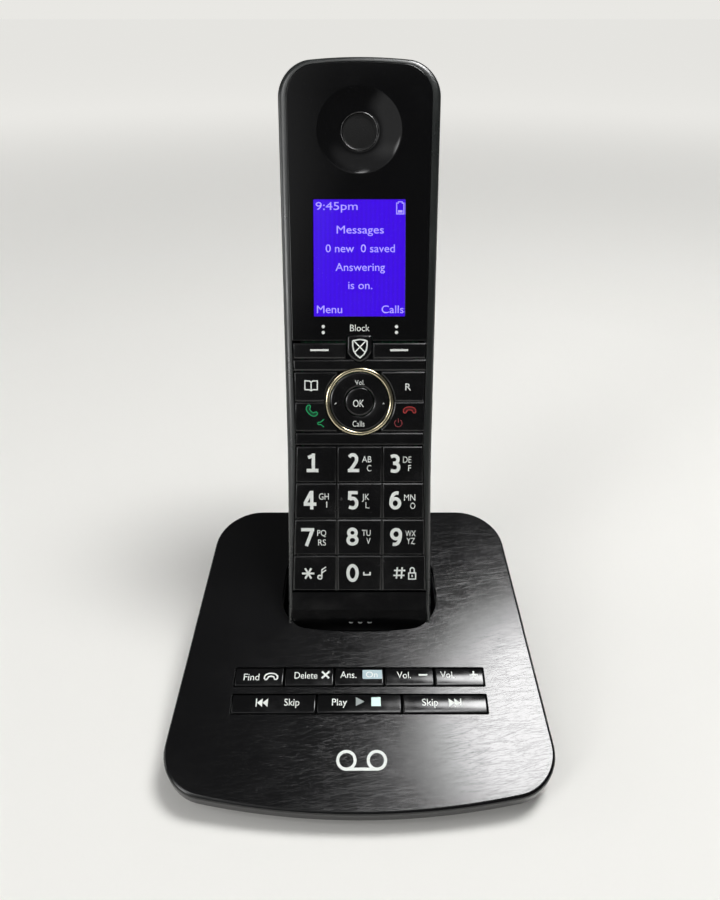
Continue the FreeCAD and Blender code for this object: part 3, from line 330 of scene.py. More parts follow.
TABLE_TO_LIP = (0, -19.1425, 22.398)
DECK_TILT = 15
TABLE_TO_DISPLAY = (0, 30.848, 128.027)
HANDSET_LEAN = 65
DECK_SIDES = ((-48.7, 56.65), (48.9, 49.8))
DECK_CORNERS = (12, 14.5)
DECK_FRONT_BOW = 6.93
DECK_THICK = 2.0
DECK_RIM = 4.7
DECK_EDGE = 1.0
RIM_WALL = 2.0
RIM_LOWER_EDGE = 0.3
WELL_SIDES = ((-22.2, 24.8), (-1.0, 26.2))
WELL_CORNERS = (6, 9.0)
WELL_FRONT_BOW = 2.2
WELL_REACH = (-124, -60)
BUTTON_ROWS = {"one": (-19.1, -13.2), "two": (-27.7, -21.8)}
BUTTON_HALF_ROW = 38
SLOT_GAP = 0.25
SLOT_CORNER = 0.5
OPENING_EDGE = 0.3
DECK_BLACK = "0B0B0C"
# Scratches are a few hundredths of a millimetre wide, drawn wider so that they show. Each
# set is (degrees from level, length in millimetres, rarity), the last of them short flecks.
SCRATCH_MM = 0.13
SCRATCH_SETS = ((8, 12, 0.62), (19, 9, 0.63), (-3, 10, 0.645), (-32, 6, 0.69), (52, 5, 0.69),
                (25, 0.7, 0.66))
SCRATCH_FADE = 0.05
SCRATCH_DULLS = 0.05
SCRATCH_BITE = 0.31
DECK_GLOSS = (0.12, 0.19)
HAZE_MM = 22.22


def standing(place, tilt):
    """The matrix from a tilted frame in millimetres to the object's frame in metres."""
    return (Matrix.Scale(0.001, 4) @ Matrix.Translation(Vector(place))
            @ Matrix.Rotation(math.radians(tilt), 4, "X"))


def half_width(sides, y, ease):
    """The half width at y of an outline given by (y, half width) stations, eased at each one."""
    total = 0
    for shift in (-ease, 0, ease):
        here = min(max(y + shift, sides[0][0]), sides[-1][0])
        for (low, first), (high, last) in zip(sides, sides[1:]):
            if low <= here <= high:
                total += first + (last - first) * (here - low) / (high - low)
                break
    return total / 3


def turning(steps, whole=90):
    """Angles in equal steps from none to a whole number of degrees."""
    return [math.radians(whole * step / steps) for step in range(steps + 1)]


def outline(sides, corners, bow_low=0, bow_high=0, inset=0, ease=0, steps=10, side_steps=24):
    """Points of a symmetrical outline, anticlockwise from the middle of its low end."""
    low, high = sides[0][0] + inset, sides[-1][0] - inset
    low_round, high_round = (max(corner - inset, 0.05) for corner in corners)
    flat = [low + low_round + (high - high_round - low - low_round) * step / side_steps
            for step in range(1, side_steps)]
    turns = turning(steps)
    rows = [(low + low_round - low_round * math.cos(turn), low_round * (1 - math.sin(turn)))
            for turn in turns]
    rows += [(y, 0) for y in flat]
    rows += [(high - high_round + high_round * math.sin(turn), high_round * (1 - math.cos(turn)))
             for turn in turns]
    right = [Vector((half_width(sides, y, ease) - inset - back, y)) for y, back in rows]
    low_half, high_half = right[0].x, right[-1].x
    ends = [step / steps for step in range(steps)]
    right = ([Vector((low_half * share, low)) for share in ends] + right
             + [Vector((high_half * (1 - share), high)) for share in ends[1:]] + [Vector((0, high))])
    wide_low = half_width(sides, low, ease) - inset
    wide_high = half_width(sides, high, ease) - inset
    middle = (low + high) / 2
    for point in right:
        if point.y < middle:
            point.y -= bow_low * max(0, 1 - (point.x / wide_low) ** 2)
        else:
            point.y += bow_high * max(0, 1 - (point.x / wide_high) ** 2)
    left = [Vector((-point.x, point.y)) for point in reversed(right[1:-1])]
    return right + left


def solid(name, mesh):
    """An object made of a worked mesh, with all its faces turned outward."""
    bmesh.ops.recalc_face_normals(mesh, faces=mesh.faces)
    data = bpy.data.meshes.new(name)
    mesh.to_mesh(data)
    mesh.free()
    piece = bpy.data.objects.new(name, data)
    scene.collection.objects.link(piece)
    return piece


def lofted(name, rings, closed=False):
    """A mesh object through rings of as many points each, with flat ends, or closed on itself."""
    mesh = bmesh.new()
    made = [[mesh.verts.new(point) for point in ring] for ring in rings]
    pairs = list(zip(made, made[1:])) + ([(made[-1], made[0])] if closed else [])
    for lower, upper in pairs:
        count = len(lower)
        for number in range(count):
            after = (number + 1) % count
            mesh.faces.new((lower[number], lower[after], upper[after], upper[number]))
    if not closed:
        mesh.faces.new(list(reversed(made[0])))
        mesh.faces.new(made[-1])
    return solid(name, mesh)


def raised(points, z):
    """Flat points lifted to a level."""
    return [Vector((point[0], point[1], z)) for point in points]


def upright(name, shape, levels):
    """A solid of one outline between levels."""
    return lofted(name, [raised(shape, z) for z in levels])


def quarter(radius, level, steps=6):
    """(inset, z) pairs up a rounded edge that ends at a level."""
    return [(radius * (1 - math.cos(turn)), level - radius * (1 - math.sin(turn)))
            for turn in turning(steps)]


def applied(piece):
    """Turn a piece's modifiers into its mesh."""
    worked = bpy.data.meshes.new_from_object(piece.evaluated_get(bpy.context.evaluated_depsgraph_get()))
    piece.modifiers.clear()
    old = piece.data
    piece.data = worked
    bpy.data.meshes.remove(old)


def carve(piece, cutters, mode="DIFFERENCE"):
    """Cut other solids out of a piece, or join them to it."""
    for cutter in cutters:
        step = piece.modifiers.new("carved", "BOOLEAN")
        step.operation = mode
        step.solver = "EXACT"
        step.object = cutter
    applied(piece)
    for cutter in cutters:
        bpy.data.objects.remove(cutter)


def fit(piece, place, finish, body, stands_for=(), crease=35):
    """Put a finished piece in its place, smooth it, and hand it to its body."""
    piece.data.transform(place)
    piece.data.materials.clear()
    piece.data.materials.append(finish)
    piece.data.shade_smooth()
    piece.data.set_sharp_from_angle(angle=math.radians(crease))
    weighted = piece.modifiers.new("flat faces stay flat", "WEIGHTED_NORMAL")
    weighted.keep_sharp = True
    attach(piece, body)
    if stands_for:
        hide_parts(*stands_for)


DECK = standing(TABLE_TO_LIP, DECK_TILT)
HANDSET = standing(TABLE_TO_DISPLAY, HANDSET_LEAN)
HANDSET_ON_DECK = DECK.inverted() @ HANDSET

# Gloss ABS with scuffs: a hard black gloss that years of dusting have covered in hairline
# scratches. They lie mostly across the deck, and they roughen and nick the gloss.
scuffed_abs, tree = material("scuffed_gloss_abs")
where = add(tree, "TexCoord")
scratches = None
for turn, length_mm, rarity in SCRATCH_SETS:
    lie = add(tree, "Mapping", {
        "Vector": where.outputs["Object"], "Rotation": (0, 0, math.radians(turn)),
        "Scale": (length_mm / 1000, SCRATCH_MM / 1000, length_mm / 1000)}, vector_type="TEXTURE")
    hair = add(tree, "TexNoise", {"Vector": lie, "Scale": 1.0})
    thin = add(tree, "MapRange", {
        "Value": hair, "From Min": rarity, "From Max": rarity + SCRATCH_FADE})
    scratches = thin if scratches is None else add(tree, "Math", {0: scratches, 1: thin},
                                                   operation="MAXIMUM")
haze = textured(tree, "TexNoise", HAZE_MM, {"Detail": 5.0})
gloss = add(tree, "MapRange", {
    "Value": haze, "From Min": 0.3, "From Max": 0.7, "To Min": DECK_GLOSS[0], "To Max": DECK_GLOSS[1]})
rough = add(tree, "Math", {0: scratches, 1: SCRATCH_DULLS, 2: gloss}, operation="MULTIPLY_ADD")
nicks = add(tree, "Bump", {"Height": scratches, "Strength": SCRATCH_BITE, "Distance": 0.00001})
skin = add(tree, "BsdfPrincipled", {
    "Base Color": DECK_BLACK, "IOR": 1.53, "Roughness": rough,
    "Normal": nicks})
add(tree, "OutputMaterial", {"Surface": skin})


def deck_ring(inset, z):
    """The deck's outline drawn in by inset, at a level."""
    return raised(outline(DECK_SIDES, DECK_CORNERS, bow_low=DECK_FRONT_BOW, inset=inset), z)


deck = lofted("deck_cover", [deck_ring(inset, z) for inset, z in [
    (RIM_WALL, -DECK_THICK), (RIM_WALL, -DECK_RIM), (RIM_LOWER_EDGE, -DECK_RIM),
    (0, RIM_LOWER_EDGE - DECK_RIM)] + quarter(DECK_EDGE, 0)])
well_shape = outline(WELL_SIDES, WELL_CORNERS, bow_high=WELL_FRONT_BOW, steps=20)
opening = lofted("opening", [[HANDSET_ON_DECK @ Vector((point.x, y, point.y)) for point in well_shape]
                             for y in WELL_REACH])
slots = []
for near, far in BUTTON_ROWS.values():
    row = ((near - SLOT_GAP, BUTTON_HALF_ROW + SLOT_GAP), (far + SLOT_GAP, BUTTON_HALF_ROW + SLOT_GAP))
    shape = outline(row, (SLOT_CORNER, SLOT_CORNER), steps=4, side_steps=2)
    slots.append(upright("slot", shape, (-DECK_THICK - 1, 1)))
carve(deck, [opening] + slots)
ease_edges(deck, OPENING_EDGE, steps=3)
applied(deck)
fit(deck, DECK, scuffed_abs, "base", ["base_top_cover"])

# ---- mark on the deck ----
# A white pad print in front of the buttons: the common sign for recorded messages, two
# reels joined by a line. Ink of a few hundredths of a millimetre lies on the gloss.

PRINT_WHITE = "E8ECE7"
THIN_INK_MM = 0.556
INK_DEPTH = 0.15
INK_PROUD = 0.02
INK_STEP = 0.002
INK_SHIFT = 0.25
REEL_MIDDLES = (-3.9, 4.7)
REEL_LEVEL = -41.2
REEL_RADIUS = 2.45
REEL_LINE = 0.85

# Pad-printed ink: a soft semi-matt white, a touch thin in places.
white_ink = surface("pad_printed_ink", PRINT_WHITE, (0.35, 0.5), THIN_INK_MM, 3.0, (0.3, 0.5),
                    shader={"IOR": 1.5})


def arc(middle, radius, start, end, steps=16):
    """Points along an arc, with its angles in degrees from the right."""
    return [(middle[0] + radius * math.cos(math.radians(start) + turn),
             middle[1] + radius * math.sin(math.radians(start) + turn))
            for turn in turning(steps, end - start)]


def ribbon(points, width, closed=False):
    """The two edges of a stroke of a width along points."""
    count = len(points)
    left, right = [], []
    for number, (x, y) in enumerate(points):
        before = points[number - 1] if closed or number else points[number]
        after = points[(number + 1) % count] if closed or number < count - 1 else points[number]
        back = Vector((x - before[0], y - before[1]))
        ahead = Vector((after[0] - x, after[1] - y))
        back = back.normalized() if back.length else ahead.normalized()
        ahead = ahead.normalized() if ahead.length else back
        along = (back + ahead).normalized()
        across = Vector((-along.y, along.x)) * width / 2 / max(along.dot(ahead), 0.5)
        left.append((x + across.x, y + across.y))
        right.append((x - across.x, y - across.y))
    return left, right


def lettering(words):
    """Words as a flat mesh with a baseline at zero."""
    curve = bpy.data.curves.new("words", "FONT")
    curve.body = words
    curve.resolution_u = 4
    shown = bpy.data.objects.new("words", curve)
    scene.collection.objects.link(shown)
    flat = bpy.data.meshes.new_from_object(shown.evaluated_get(bpy.context.evaluated_depsgraph_get()))
    bpy.data.objects.remove(shown)
    bpy.data.curves.remove(curve)
    return flat


letter = lettering("H")
CAPITAL_FOOT, CAPITAL_TOP = (end(vertex.co.y for vertex in letter.vertices) for end in (min, max))
bpy.data.meshes.remove(letter)


def printed(name, drawn, level, body, ink=white_ink, place=HANDSET):
    """One layer of ink on a level: words, strokes and filled shapes."""
    mesh = bmesh.new()
    for number, (kind, *facts) in enumerate(drawn):
        lift = number * INK_STEP
        if kind == "words":
            words, left, right, foot, height = facts
            flat = lettering(words)
            sides = [vertex.co.x for vertex in flat.vertices]
            wide = (right - left) / (max(sides) - min(sides))
            tall = height / (CAPITAL_TOP - CAPITAL_FOOT)
            flat.transform(Matrix.Translation((left, foot, lift)) @ Matrix.Diagonal((wide, tall, 1, 1))
                           @ Matrix.Translation((-min(sides), -CAPITAL_FOOT, 0)))
            mesh.from_mesh(flat)
            bpy.data.meshes.remove(flat)
        elif kind == "fill":
            mesh.faces.new([mesh.verts.new((x, y, lift)) for x, y in facts[0]])
        else:
            width, points, *rest = facts
            closed = bool(rest and rest[0])
            left, right = ([mesh.verts.new((x, y, lift)) for x, y in side]
                           for side in ribbon(points, width, closed))
            for number in range(len(points) if closed else len(points) - 1):
                after = (number + 1) % len(points)
                mesh.faces.new((left[number], left[after], right[after], right[number]))
    bmesh.ops.recalc_face_normals(mesh, faces=mesh.faces)
    pushed = bmesh.ops.extrude_face_region(mesh, geom=mesh.faces[:])
    sunk = [part for part in pushed["geom"] if isinstance(part, bmesh.types.BMVert)]
    bmesh.ops.translate(mesh, verts=sunk, vec=(0, 0, -INK_DEPTH))
    bmesh.ops.translate(mesh, verts=mesh.verts, vec=(INK_SHIFT, 0, level + INK_PROUD))
    fit(solid(name, mesh), place, ink, body)


printed("message_mark",
        [("line", REEL_LINE, arc((x, REEL_LEVEL), REEL_RADIUS, 0, 350, 35), True) for x in REEL_MIDDLES]
        + [("line", REEL_LINE, [(x, REEL_LEVEL - REEL_RADIUS) for x in REEL_MIDDLES])],
        0, "base", place=DECK)

# ---- message buttons ----
# Eight crowned bars in gloss ABS stand side by side in the deck's two slots, each on its
# own dome of the mat. Their function words are pad printed, and two have lit windows.

BUTTON_GAP = 0.4
BUTTON_FOOT = -3.25
BUTTON_TOP = 0.02
BUTTON_CROWN = 0.18
CROWN_STEPS = (0.8, 0.6, 0.4, 0.2)
BUTTON_ROUND = 0.5
KEY_BLACK = "0A0A0B"
WINDOW_BLUE = "A9BEC4"
WINDOW_MINT = "CFEDE4"
ARROW_GREY = "8F9796"
BUTTON_CAP = 2.1
FINGERPRINT_MM = 7.69
SWELL_MM = 11.11
GLOW_MM = 2.0
GLOW_SPREAD = (0.85, 1.15)
RECEIVER = ((-1, -0.3), (-0.97, 0.05), (-0.75, 0.32), (-0.38, 0.47), (0, 0.5), (0.38, 0.47), (0.75, 0.32),
            (0.97, 0.05), (1, -0.3), (0.88, -0.48), (0.62, -0.48), (0.5, -0.3), (0.4, -0.05), (0, 0.02),
            (-0.4, -0.05), (-0.5, -0.3), (-0.62, -0.48), (-0.88, -0.48))


def gloss_moulding(name, colour, smooth, worn):
    """A gloss moulding whose fingerprints dull it here and there."""
    return surface(name, colour, (smooth, worn), FINGERPRINT_MM, spread=(0.42, 0.7),
                   grain=(SWELL_MM, 2.0, 0.5, 0.15, 0.2), shader={"IOR": 1.53},
                   pattern={"Detail": 5.0, "Roughness": 0.6})


def glowing_finish(name, colour, level):
    """A finish that glows evenly through a soft diffusing skin: a backlit moulding, or a painted glow on a
    key's ink with no lamp behind it.
    """
    made, tree = material(name)
    uneven = textured(tree, "TexNoise", GLOW_MM)
    glow = add(tree, "MapRange", {
        "Value": uneven, "To Min": level * GLOW_SPREAD[0], "To Max": level * GLOW_SPREAD[1]})
    skin = add(tree, "BsdfPrincipled", {
        "Base Color": colour, "IOR": 1.49, "Roughness": 0.3, "Emission Color": colour,
        "Emission Strength": glow})
    add(tree, "OutputMaterial", {"Surface": skin})
    return made


def receiver(middle, half, turn):
    """The outline of a telephone receiver lying across, turned about its middle."""
    spin = math.radians(turn)
    return [(middle[0] + half * (x * math.cos(spin) - y * math.sin(spin)),
             middle[1] + half * (x * math.sin(spin) + y * math.cos(spin))) for x, y in RECEIVER]


def bar(name, left, right, near, far):
    """A bar crowned from its near edge to its far one, with all its top edges rounded."""
    middle, depth = (near + far) / 2, (far - near) / 2
    rounding = quarter(BUTTON_ROUND, BUTTON_TOP, 4)
    rings = []
    ends = [(left + drawn_in, BUTTON_TOP - z) for drawn_in, z in rounding]
    ends += [(right - drawn_in, BUTTON_TOP - z) for drawn_in, z in reversed(rounding)]
    for x, sunk in ends:
        half = depth - sunk
        far_side = [(half - drawn_in, z - sunk) for drawn_in, z in rounding]
        far_side += [((half - BUTTON_ROUND) * share, BUTTON_TOP - sunk + BUTTON_CROWN * (1 - share ** 2))
                     for share in CROWN_STEPS]
        section = ([(half, BUTTON_FOOT)] + far_side + [(0, BUTTON_TOP - sunk + BUTTON_CROWN)]
                   + [(-y, z) for y, z in reversed(far_side)] + [(-half, BUTTON_FOOT)])
        rings.append([Vector((x, middle + y, z)) for y, z in section])
    return lofted(name, rings)


# Gloss ABS bars: a dark mirror that fingertips have dulled here and there. The windows are
# polycarbonate with a lamp behind, and the arrow's ink lets a little of its light through.
button_gloss = gloss_moulding("gloss_button_abs", KEY_BLACK, 0.10, 0.22)
mint_window = glowing_finish("lit_polycarbonate", WINDOW_MINT, 0.18)
blue_window = glowing_finish("dim_lit_polycarbonate", WINDOW_BLUE, 0.06)
grey_ink = glowing_finish("grey_printed_ink", ARROW_GREY, 0.05)

BUTTONS = {
    "find_button": ("one", 0, 5, [
        ("words", "Find", -35.55, -30.83, -17.33, BUTTON_CAP),
        ("line", 0.42, receiver((-27.24, -16.1), 2.0, 0), True)]),
    "delete_button": ("one", 1, 5, [
        ("words", "Delete", -20.08, -13.11, -16.79, BUTTON_CAP),
        ("line", 0.6, [(-11.73, -16.7), (-9.5, -14.5)]), ("line", 0.6, [(-11.73, -14.5), (-9.5, -16.7)])]),
    "answer_button": ("one", 2, 5, [
        ("words", "Ans.", -6.08, -1.15, -16.6, BUTTON_CAP)]),
    "volume_down_button": ("one", 3, 5, [
        ("words", "Vol.", 11.24, 15.51, -16.7, BUTTON_CAP),
        ("line", 0.5, [(17.91, -15.6), (20.51, -15.6)])]),
    "volume_up_button": ("one", 4, 5, [
        ("words", "Vol.", 24.54, 28.76, -16.6, BUTTON_CAP),
        ("line", 0.5, [(33.5, -15.6), (35.9, -15.6)]), ("line", 0.5, [(34.7, -16.8), (34.7, -14.4)])]),
    "skip_back_button": ("two", 0, 3, [
        ("fill", [(-31.1, -25.7), (-31.1, -23.2), (-30.75, -23.2), (-30.75, -25.7)]),
        ("fill", [(-30.75, -24.45), (-29.1, -25.75), (-29.1, -23.15)]),
        ("fill", [(-29.1, -24.45), (-27.5, -25.75), (-27.5, -23.15)]),
        ("words", "Skip", -22.63, -18.10, -25.35, BUTTON_CAP)]),
    "play_stop_button": ("two", 1, 3, [
        ("words", "Play", -8.41, -3.95, -25.3, BUTTON_CAP)]),
    "skip_forward_button": ("two", 2, 3, [
        ("words", "Skip", 18.41, 23.2, -25.35, BUTTON_CAP),
        ("fill", [(26.4, -25.75), (28.1, -24.45), (26.4, -23.15)]),
        ("fill", [(28.1, -25.75), (29.8, -24.45), (28.1, -23.15)]),
        ("fill", [(29.8, -25.7), (29.8, -23.2), (30.15, -23.2), (30.15, -25.7)])]),
}
for name, (row, place_in_row, row_count, drawn) in BUTTONS.items():
    near, far = BUTTON_ROWS[row]
    pitch = (2 * BUTTON_HALF_ROW + BUTTON_GAP) / row_count
    left = -BUTTON_HALF_ROW + place_in_row * pitch
    fit(bar(name + "_cap", left, left + pitch - BUTTON_GAP, near, far), DECK, button_gloss, name,
        [name])
    printed(name + "_print", drawn, BUTTON_TOP + BUTTON_CROWN, name, place=DECK)
printed("answer_window", [("fill", [(0.9, -16.9), (6.5, -16.9), (6.7, -16.7), (6.7, -14.2), (6.5, -14.0),
                                    (0.9, -14.0), (0.7, -14.2), (0.7, -16.7)])],
        BUTTON_TOP + BUTTON_CROWN - 0.01, "answer_button", blue_window, DECK)
printed("answer_window_print", [("words", "On", 1.75, 5.3, -16.4, 1.8)],
        BUTTON_TOP + BUTTON_CROWN + 0.02, "answer_button", place=DECK)
printed("play_arrow", [("fill", [(-1.3, -25.45), (1.25, -24.1), (-1.3, -22.75)])],
        BUTTON_TOP + BUTTON_CROWN, "play_stop_button", grey_ink, DECK)
printed("stop_square", [("fill", [(3.3, -25.5), (6.1, -25.5), (6.1, -22.75), (3.3, -22.75)])],
        BUTTON_TOP + BUTTON_CROWN, "play_stop_button", mint_window, DECK)

# ---- handset back, battery cover and what they hold ----
# The handset's back is a satin ABS tub with a sliding battery cover. It holds two sleeved
# cells between nickel springs, and two zinc-plated screws close it.

CELL_SLEEVE = "27474F"
SHRINK_MM = 2.857

finish_node("handset_rear_cover", satin_abs)
finish_node("battery_cover", satin_abs, 0.15)
finish_node("handset_screws", zinc_plate, 0.15)

# Shrunk PVC sleeve: a plain semi-gloss film, darker where it wraps over the cell's ends.
pvc_sleeve = surface("shrunk_pvc_sleeve", CELL_SLEEVE, (0.2, 0.4), SHRINK_MM, 3.0, shader={"IOR": 1.54})
finish_node("battery_cells", pvc_sleeve, 0.4)

# ---- handset frame and face bars ----
# The front half of the handset is one ABS moulding. Its flanks are satin and slope up to
# the face, whose crossbars and chin are polished gloss; three slots let in the voice.

CASE_SIDES = ((-121, 23), (-69, 22.5), (57, 24.7))
CASE_CORNERS = (7, 9.5)
CASE_TOP_BOW = 2.03
FACE_SIDES = ((-119.7, 21.9), (-104.4, 21.65), (-81, 20.85), (-58, 20.15), (-25, 21.0), (22, 21.65),
              (55.7, 22.2))
FACE_CORNERS = (5.5, 8.2)
FACE_TOP_BOW = 1.75
PARTING = -6
FRAME_EASE = 0.15
FRAME_RISE = 1.5
FRAME_LIP = 0.12
FRAME_DEPTH = -2.2
FRAME_WALL = 1.6
FRAME_STEP = 0.4
FACE_GAP = 0.1
FACE_EASE = 3
OUTLINE_EASE = 12
FLANK_GREY = "1B1E1D"
RUBBED_MM = 20.0
BAR_GAP = 0.12
BAR_TOP = -0.02
BAR_FOOT = -2.2
BAR_ROUND = 0.25
BAR_CORNER = 0.3
THROUGH = (-5, 2)
# The edge of the bars and keys, as (drawn in by, height) from the foot up.
EDGE = ((0, -0.42), (0.05, -0.28), (0.33, -0.105), (0.46, -0.03), (0.56, -0.006), (0.7, 0))
CHIN_TURN = -110.5
CHIN_SLOPE = 0.36
CHIN_START = -104.75
CHIN_END = -119.6
CHIN_FOOT = -5.2
CHIN_STEPS = 20
CROSSBARS = {"upper_crossbar": (-34.15, -30.65), "lower_crossbar": (-57.45, -53.45)}
RING_MIDDLE = (0, -43.75)
RING_ROOM = 10.62
SLOTS_LEVEL = -115.1
SLOT_SIZE = (1.2, 0.6)
SLOT_ENDS = 0.29
SLOT_PLACES = (-3, 0, 3)
SHIELD_HALF = 3.8
SHIELD_TOP = -23.3
SHIELD_SHOULDER = -27.6
SHIELD_TIP = -31.4
# The blocking key's clearance in the crossbar and in the lens.
SHIELD_ROOMS = (0.25, 0.2)

# The flanks' satin is the tray's, a shade lighter where hands have rubbed it.
flank_abs = surface("rubbed_satin_abs", FLANK_GREY, (0.24, 0.38), RUBBED_MM, 4.0, (0.3, 0.7),
                    (GRAIN_MM, 3.0, 0.6, 0.3, 0.04), {"IOR": 1.53, "Specular IOR Level": 0.85})
# The face is polished to a darker gloss, and the thumb that passes over it leaves smears.
face_gloss = gloss_moulding("polished_face_abs", KEY_BLACK, 0.12, 0.26)


def face_half(y):
    """Half the width of the face at y."""
    return half_width(FACE_SIDES, y, FACE_EASE)


def chin_drop(y):
    """How far the face falls back below the chin's turn."""
    return CHIN_SLOPE * max(0, CHIN_TURN - y)


def case_ring(share, z, inset=0):
    """A ring between the handset's silhouette at share 0 and the edge of its face at share 1."""
    outside = outline(CASE_SIDES, CASE_CORNERS, bow_high=CASE_TOP_BOW, inset=inset, ease=OUTLINE_EASE,
                      steps=24, side_steps=60)
    inside = outline(FACE_SIDES, FACE_CORNERS, bow_high=FACE_TOP_BOW, inset=inset, ease=FACE_EASE,
                     steps=24, side_steps=60)
    ring = [first.lerp(last, share) for first, last in zip(outside, inside)]
    return [Vector((point.x, point.y, z - share * chin_drop(point.y))) for point in ring]


rise = [(1 - math.cos(turn), -FRAME_LIP - FRAME_RISE * (1 - math.sin(turn))) for turn in turning(8)]
shell = lofted("handset_frame", [case_ring(0, PARTING + FRAME_EASE, FRAME_EASE),
                                  case_ring(0, PARTING + 2 * FRAME_EASE)]
               + [case_ring(share, z) for share, z in rise]
               + [case_ring(1, -FRAME_LIP - FACE_GAP, FACE_GAP), case_ring(1, FRAME_DEPTH, FACE_GAP),
                  case_ring(0, FRAME_DEPTH - FRAME_STEP, FRAME_WALL),
                  case_ring(0, PARTING + FRAME_EASE, FRAME_WALL)],
               closed=True)
fit(shell, HANDSET, flank_abs, "handset", ["handset_front_cover"])


def shield_shape(grow=0):
    """The blocking key's outline, anticlockwise from its tip."""
    half, top, tip = SHIELD_HALF + grow, SHIELD_TOP + grow, SHIELD_TIP - grow * 1.2
    right = [(half * math.sin(turn), tip + (SHIELD_SHOULDER - tip) * (1 - math.cos(turn)) ** 0.8)
             for turn in turning(10)]
    right += [(half, top - 0.7), (half - 0.2, top - 0.2), (half - 0.7, top)]
    return right + [(0, top + 0.15)] + [(-x, y) for x, y in reversed(right[1:])]


def turned(name, middle, profile, closed=False, count=96):
    """A solid turned about a middle, from the (radius, z) pairs of its profile."""
    across, up = middle
    return lofted(name, [[Vector((across + radius * math.cos(turn), up + radius * math.sin(turn), z))
                          for turn in turning(count, 360)[:-1]] for radius, z in profile], closed)


for name, (near, far) in CROSSBARS.items():
    sides = tuple((y, face_half(y) - BAR_GAP) for y in (near, far))
    levels = [(0, BAR_FOOT)] + [(inset, BAR_TOP + fall) for inset, fall in EDGE]
    crossbar = lofted(name, [raised(outline(sides, (BAR_CORNER, BAR_CORNER), inset=inset, steps=4,
                                            side_steps=3), z)
                             for inset, z in levels])
    rooms = [turned("room", RING_MIDDLE, [(RING_ROOM, z) for z in THROUGH])]
    if name == "upper_crossbar":
        rooms.append(upright("room", shield_shape(SHIELD_ROOMS[0]), THROUGH))
    carve(crossbar, rooms)
    fit(crossbar, HANDSET, face_gloss, "handset", ["handset_front_cover"])

chin_rings = []
chin_levels = [CHIN_START, (CHIN_START + CHIN_TURN) / 2]
chin_levels += [CHIN_TURN + (CHIN_END - CHIN_TURN) * (1 - (1 - step / CHIN_STEPS) ** 1.4)
                for step in range(CHIN_STEPS + 1)]
for y in chin_levels:
    toward_end = max(0, FACE_CORNERS[0] - (y - CHIN_END)) / FACE_CORNERS[0]
    corner = FACE_CORNERS[0] * (1 - math.sqrt(1 - min(toward_end, 0.98) ** 2))
    half = face_half(y) - BAR_GAP - corner
    drop = BAR_TOP - chin_drop(y)
    edge = [(half - drawn_in, z) for drawn_in, z in quarter(BAR_ROUND, drop, 4)]
    section = [(half, CHIN_FOOT)] + edge + [(half * share, drop) for share in (0.66, 0.33, 0, -0.33, -0.66)]
    section += [(-x, z) for x, z in reversed(edge)] + [(-half, CHIN_FOOT)]
    chin_rings.append([Vector((x, y, z)) for x, z in section])
chin = lofted("handset_chin", chin_rings)
mouth = []
for x in SLOT_PLACES:
    low, high = SLOTS_LEVEL - SLOT_SIZE[1] / 2, SLOTS_LEVEL + SLOT_SIZE[1] / 2
    shape = outline(((low, SLOT_SIZE[0] / 2), (high, SLOT_SIZE[0] / 2)), (SLOT_ENDS, SLOT_ENDS),
                    steps=5, side_steps=2)
    mouth.append(upright("mouth_slot", [(x + point.x, point.y) for point in shape], (-4.6, 2)))
carve(chin, mouth)
fit(chin, HANDSET, face_gloss, "handset", ["handset_front_cover"], crease=15)

# ---- display ----
# A small colour liquid crystal display, two panes of glass lit from behind, is taped
# under the lens. Its blue ground glows, and its words are paler pixels in the same layer.

DISPLAY_SIZE = (28.03, 35.04)
DISPLAY_LEVELS = (-2.15, -1.5)
DISPLAY_BLUE = "4200F0"
DISPLAY_EDGE_BLUE = "3A00E0"
DISPLAY_WORDS = "A89CF4"
DISPLAY_DARK = "050508"
PIXEL_MM = 0.22
BACKLIGHT_MM = 25.0
WORDS_HIGH = 2.3
# Words, their left and right ends and their foot, from the display's middle.
DISPLAY_TEXT = (("9:45pm", -13.6, -0.8, 14.6), ("Messages", -7.2, 7.2, 7.6),
                ("0 new  0 saved", -10.6, 10.6, 2.0), ("Answering", -7.6, 7.6, -3.6),
                ("is on.", -3.7, 3.7, -9.1), ("Menu", -13.4, -5.6, -16.4), ("Calls", 6.6, 13.4, -16.4))

# Backlit liquid crystal: saturated blue-violet with faint columns of pixels.
display_glow, tree = material("backlit_liquid_crystal")
columns = textured(tree, "TexWave", 20 * PIXEL_MM, bands_direction="X")
patches = textured(tree, "TexNoise", BACKLIGHT_MM)
depth = add(tree, "Math", {0: columns.outputs["Fac"], 1: patches}, operation="MULTIPLY")
ground = add(tree, "Mix", {0: depth, 6: DISPLAY_BLUE, 7: DISPLAY_EDGE_BLUE}, data_type="RGBA")
skin = add(tree, "BsdfPrincipled", {
    "Base Color": DISPLAY_DARK, "Roughness": 0.4, "Specular IOR Level": 0.1,
    "Emission Color": ground.outputs[2], "Emission Strength": 1.0})
add(tree, "OutputMaterial", {"Surface": skin})
# Open pixels let more of the lamp through, so that the words are a paler violet.
display_words = glowing_finish("lit_display_pixels", DISPLAY_WORDS, 0.9)


def rectangle(width, height, corner, inset=0, steps=4):
    """A rounded rectangle about the middle of the display."""
    return outline(((-height / 2, width / 2), (height / 2, width / 2)), (corner, corner), inset=inset,
                   steps=steps, side_steps=2)


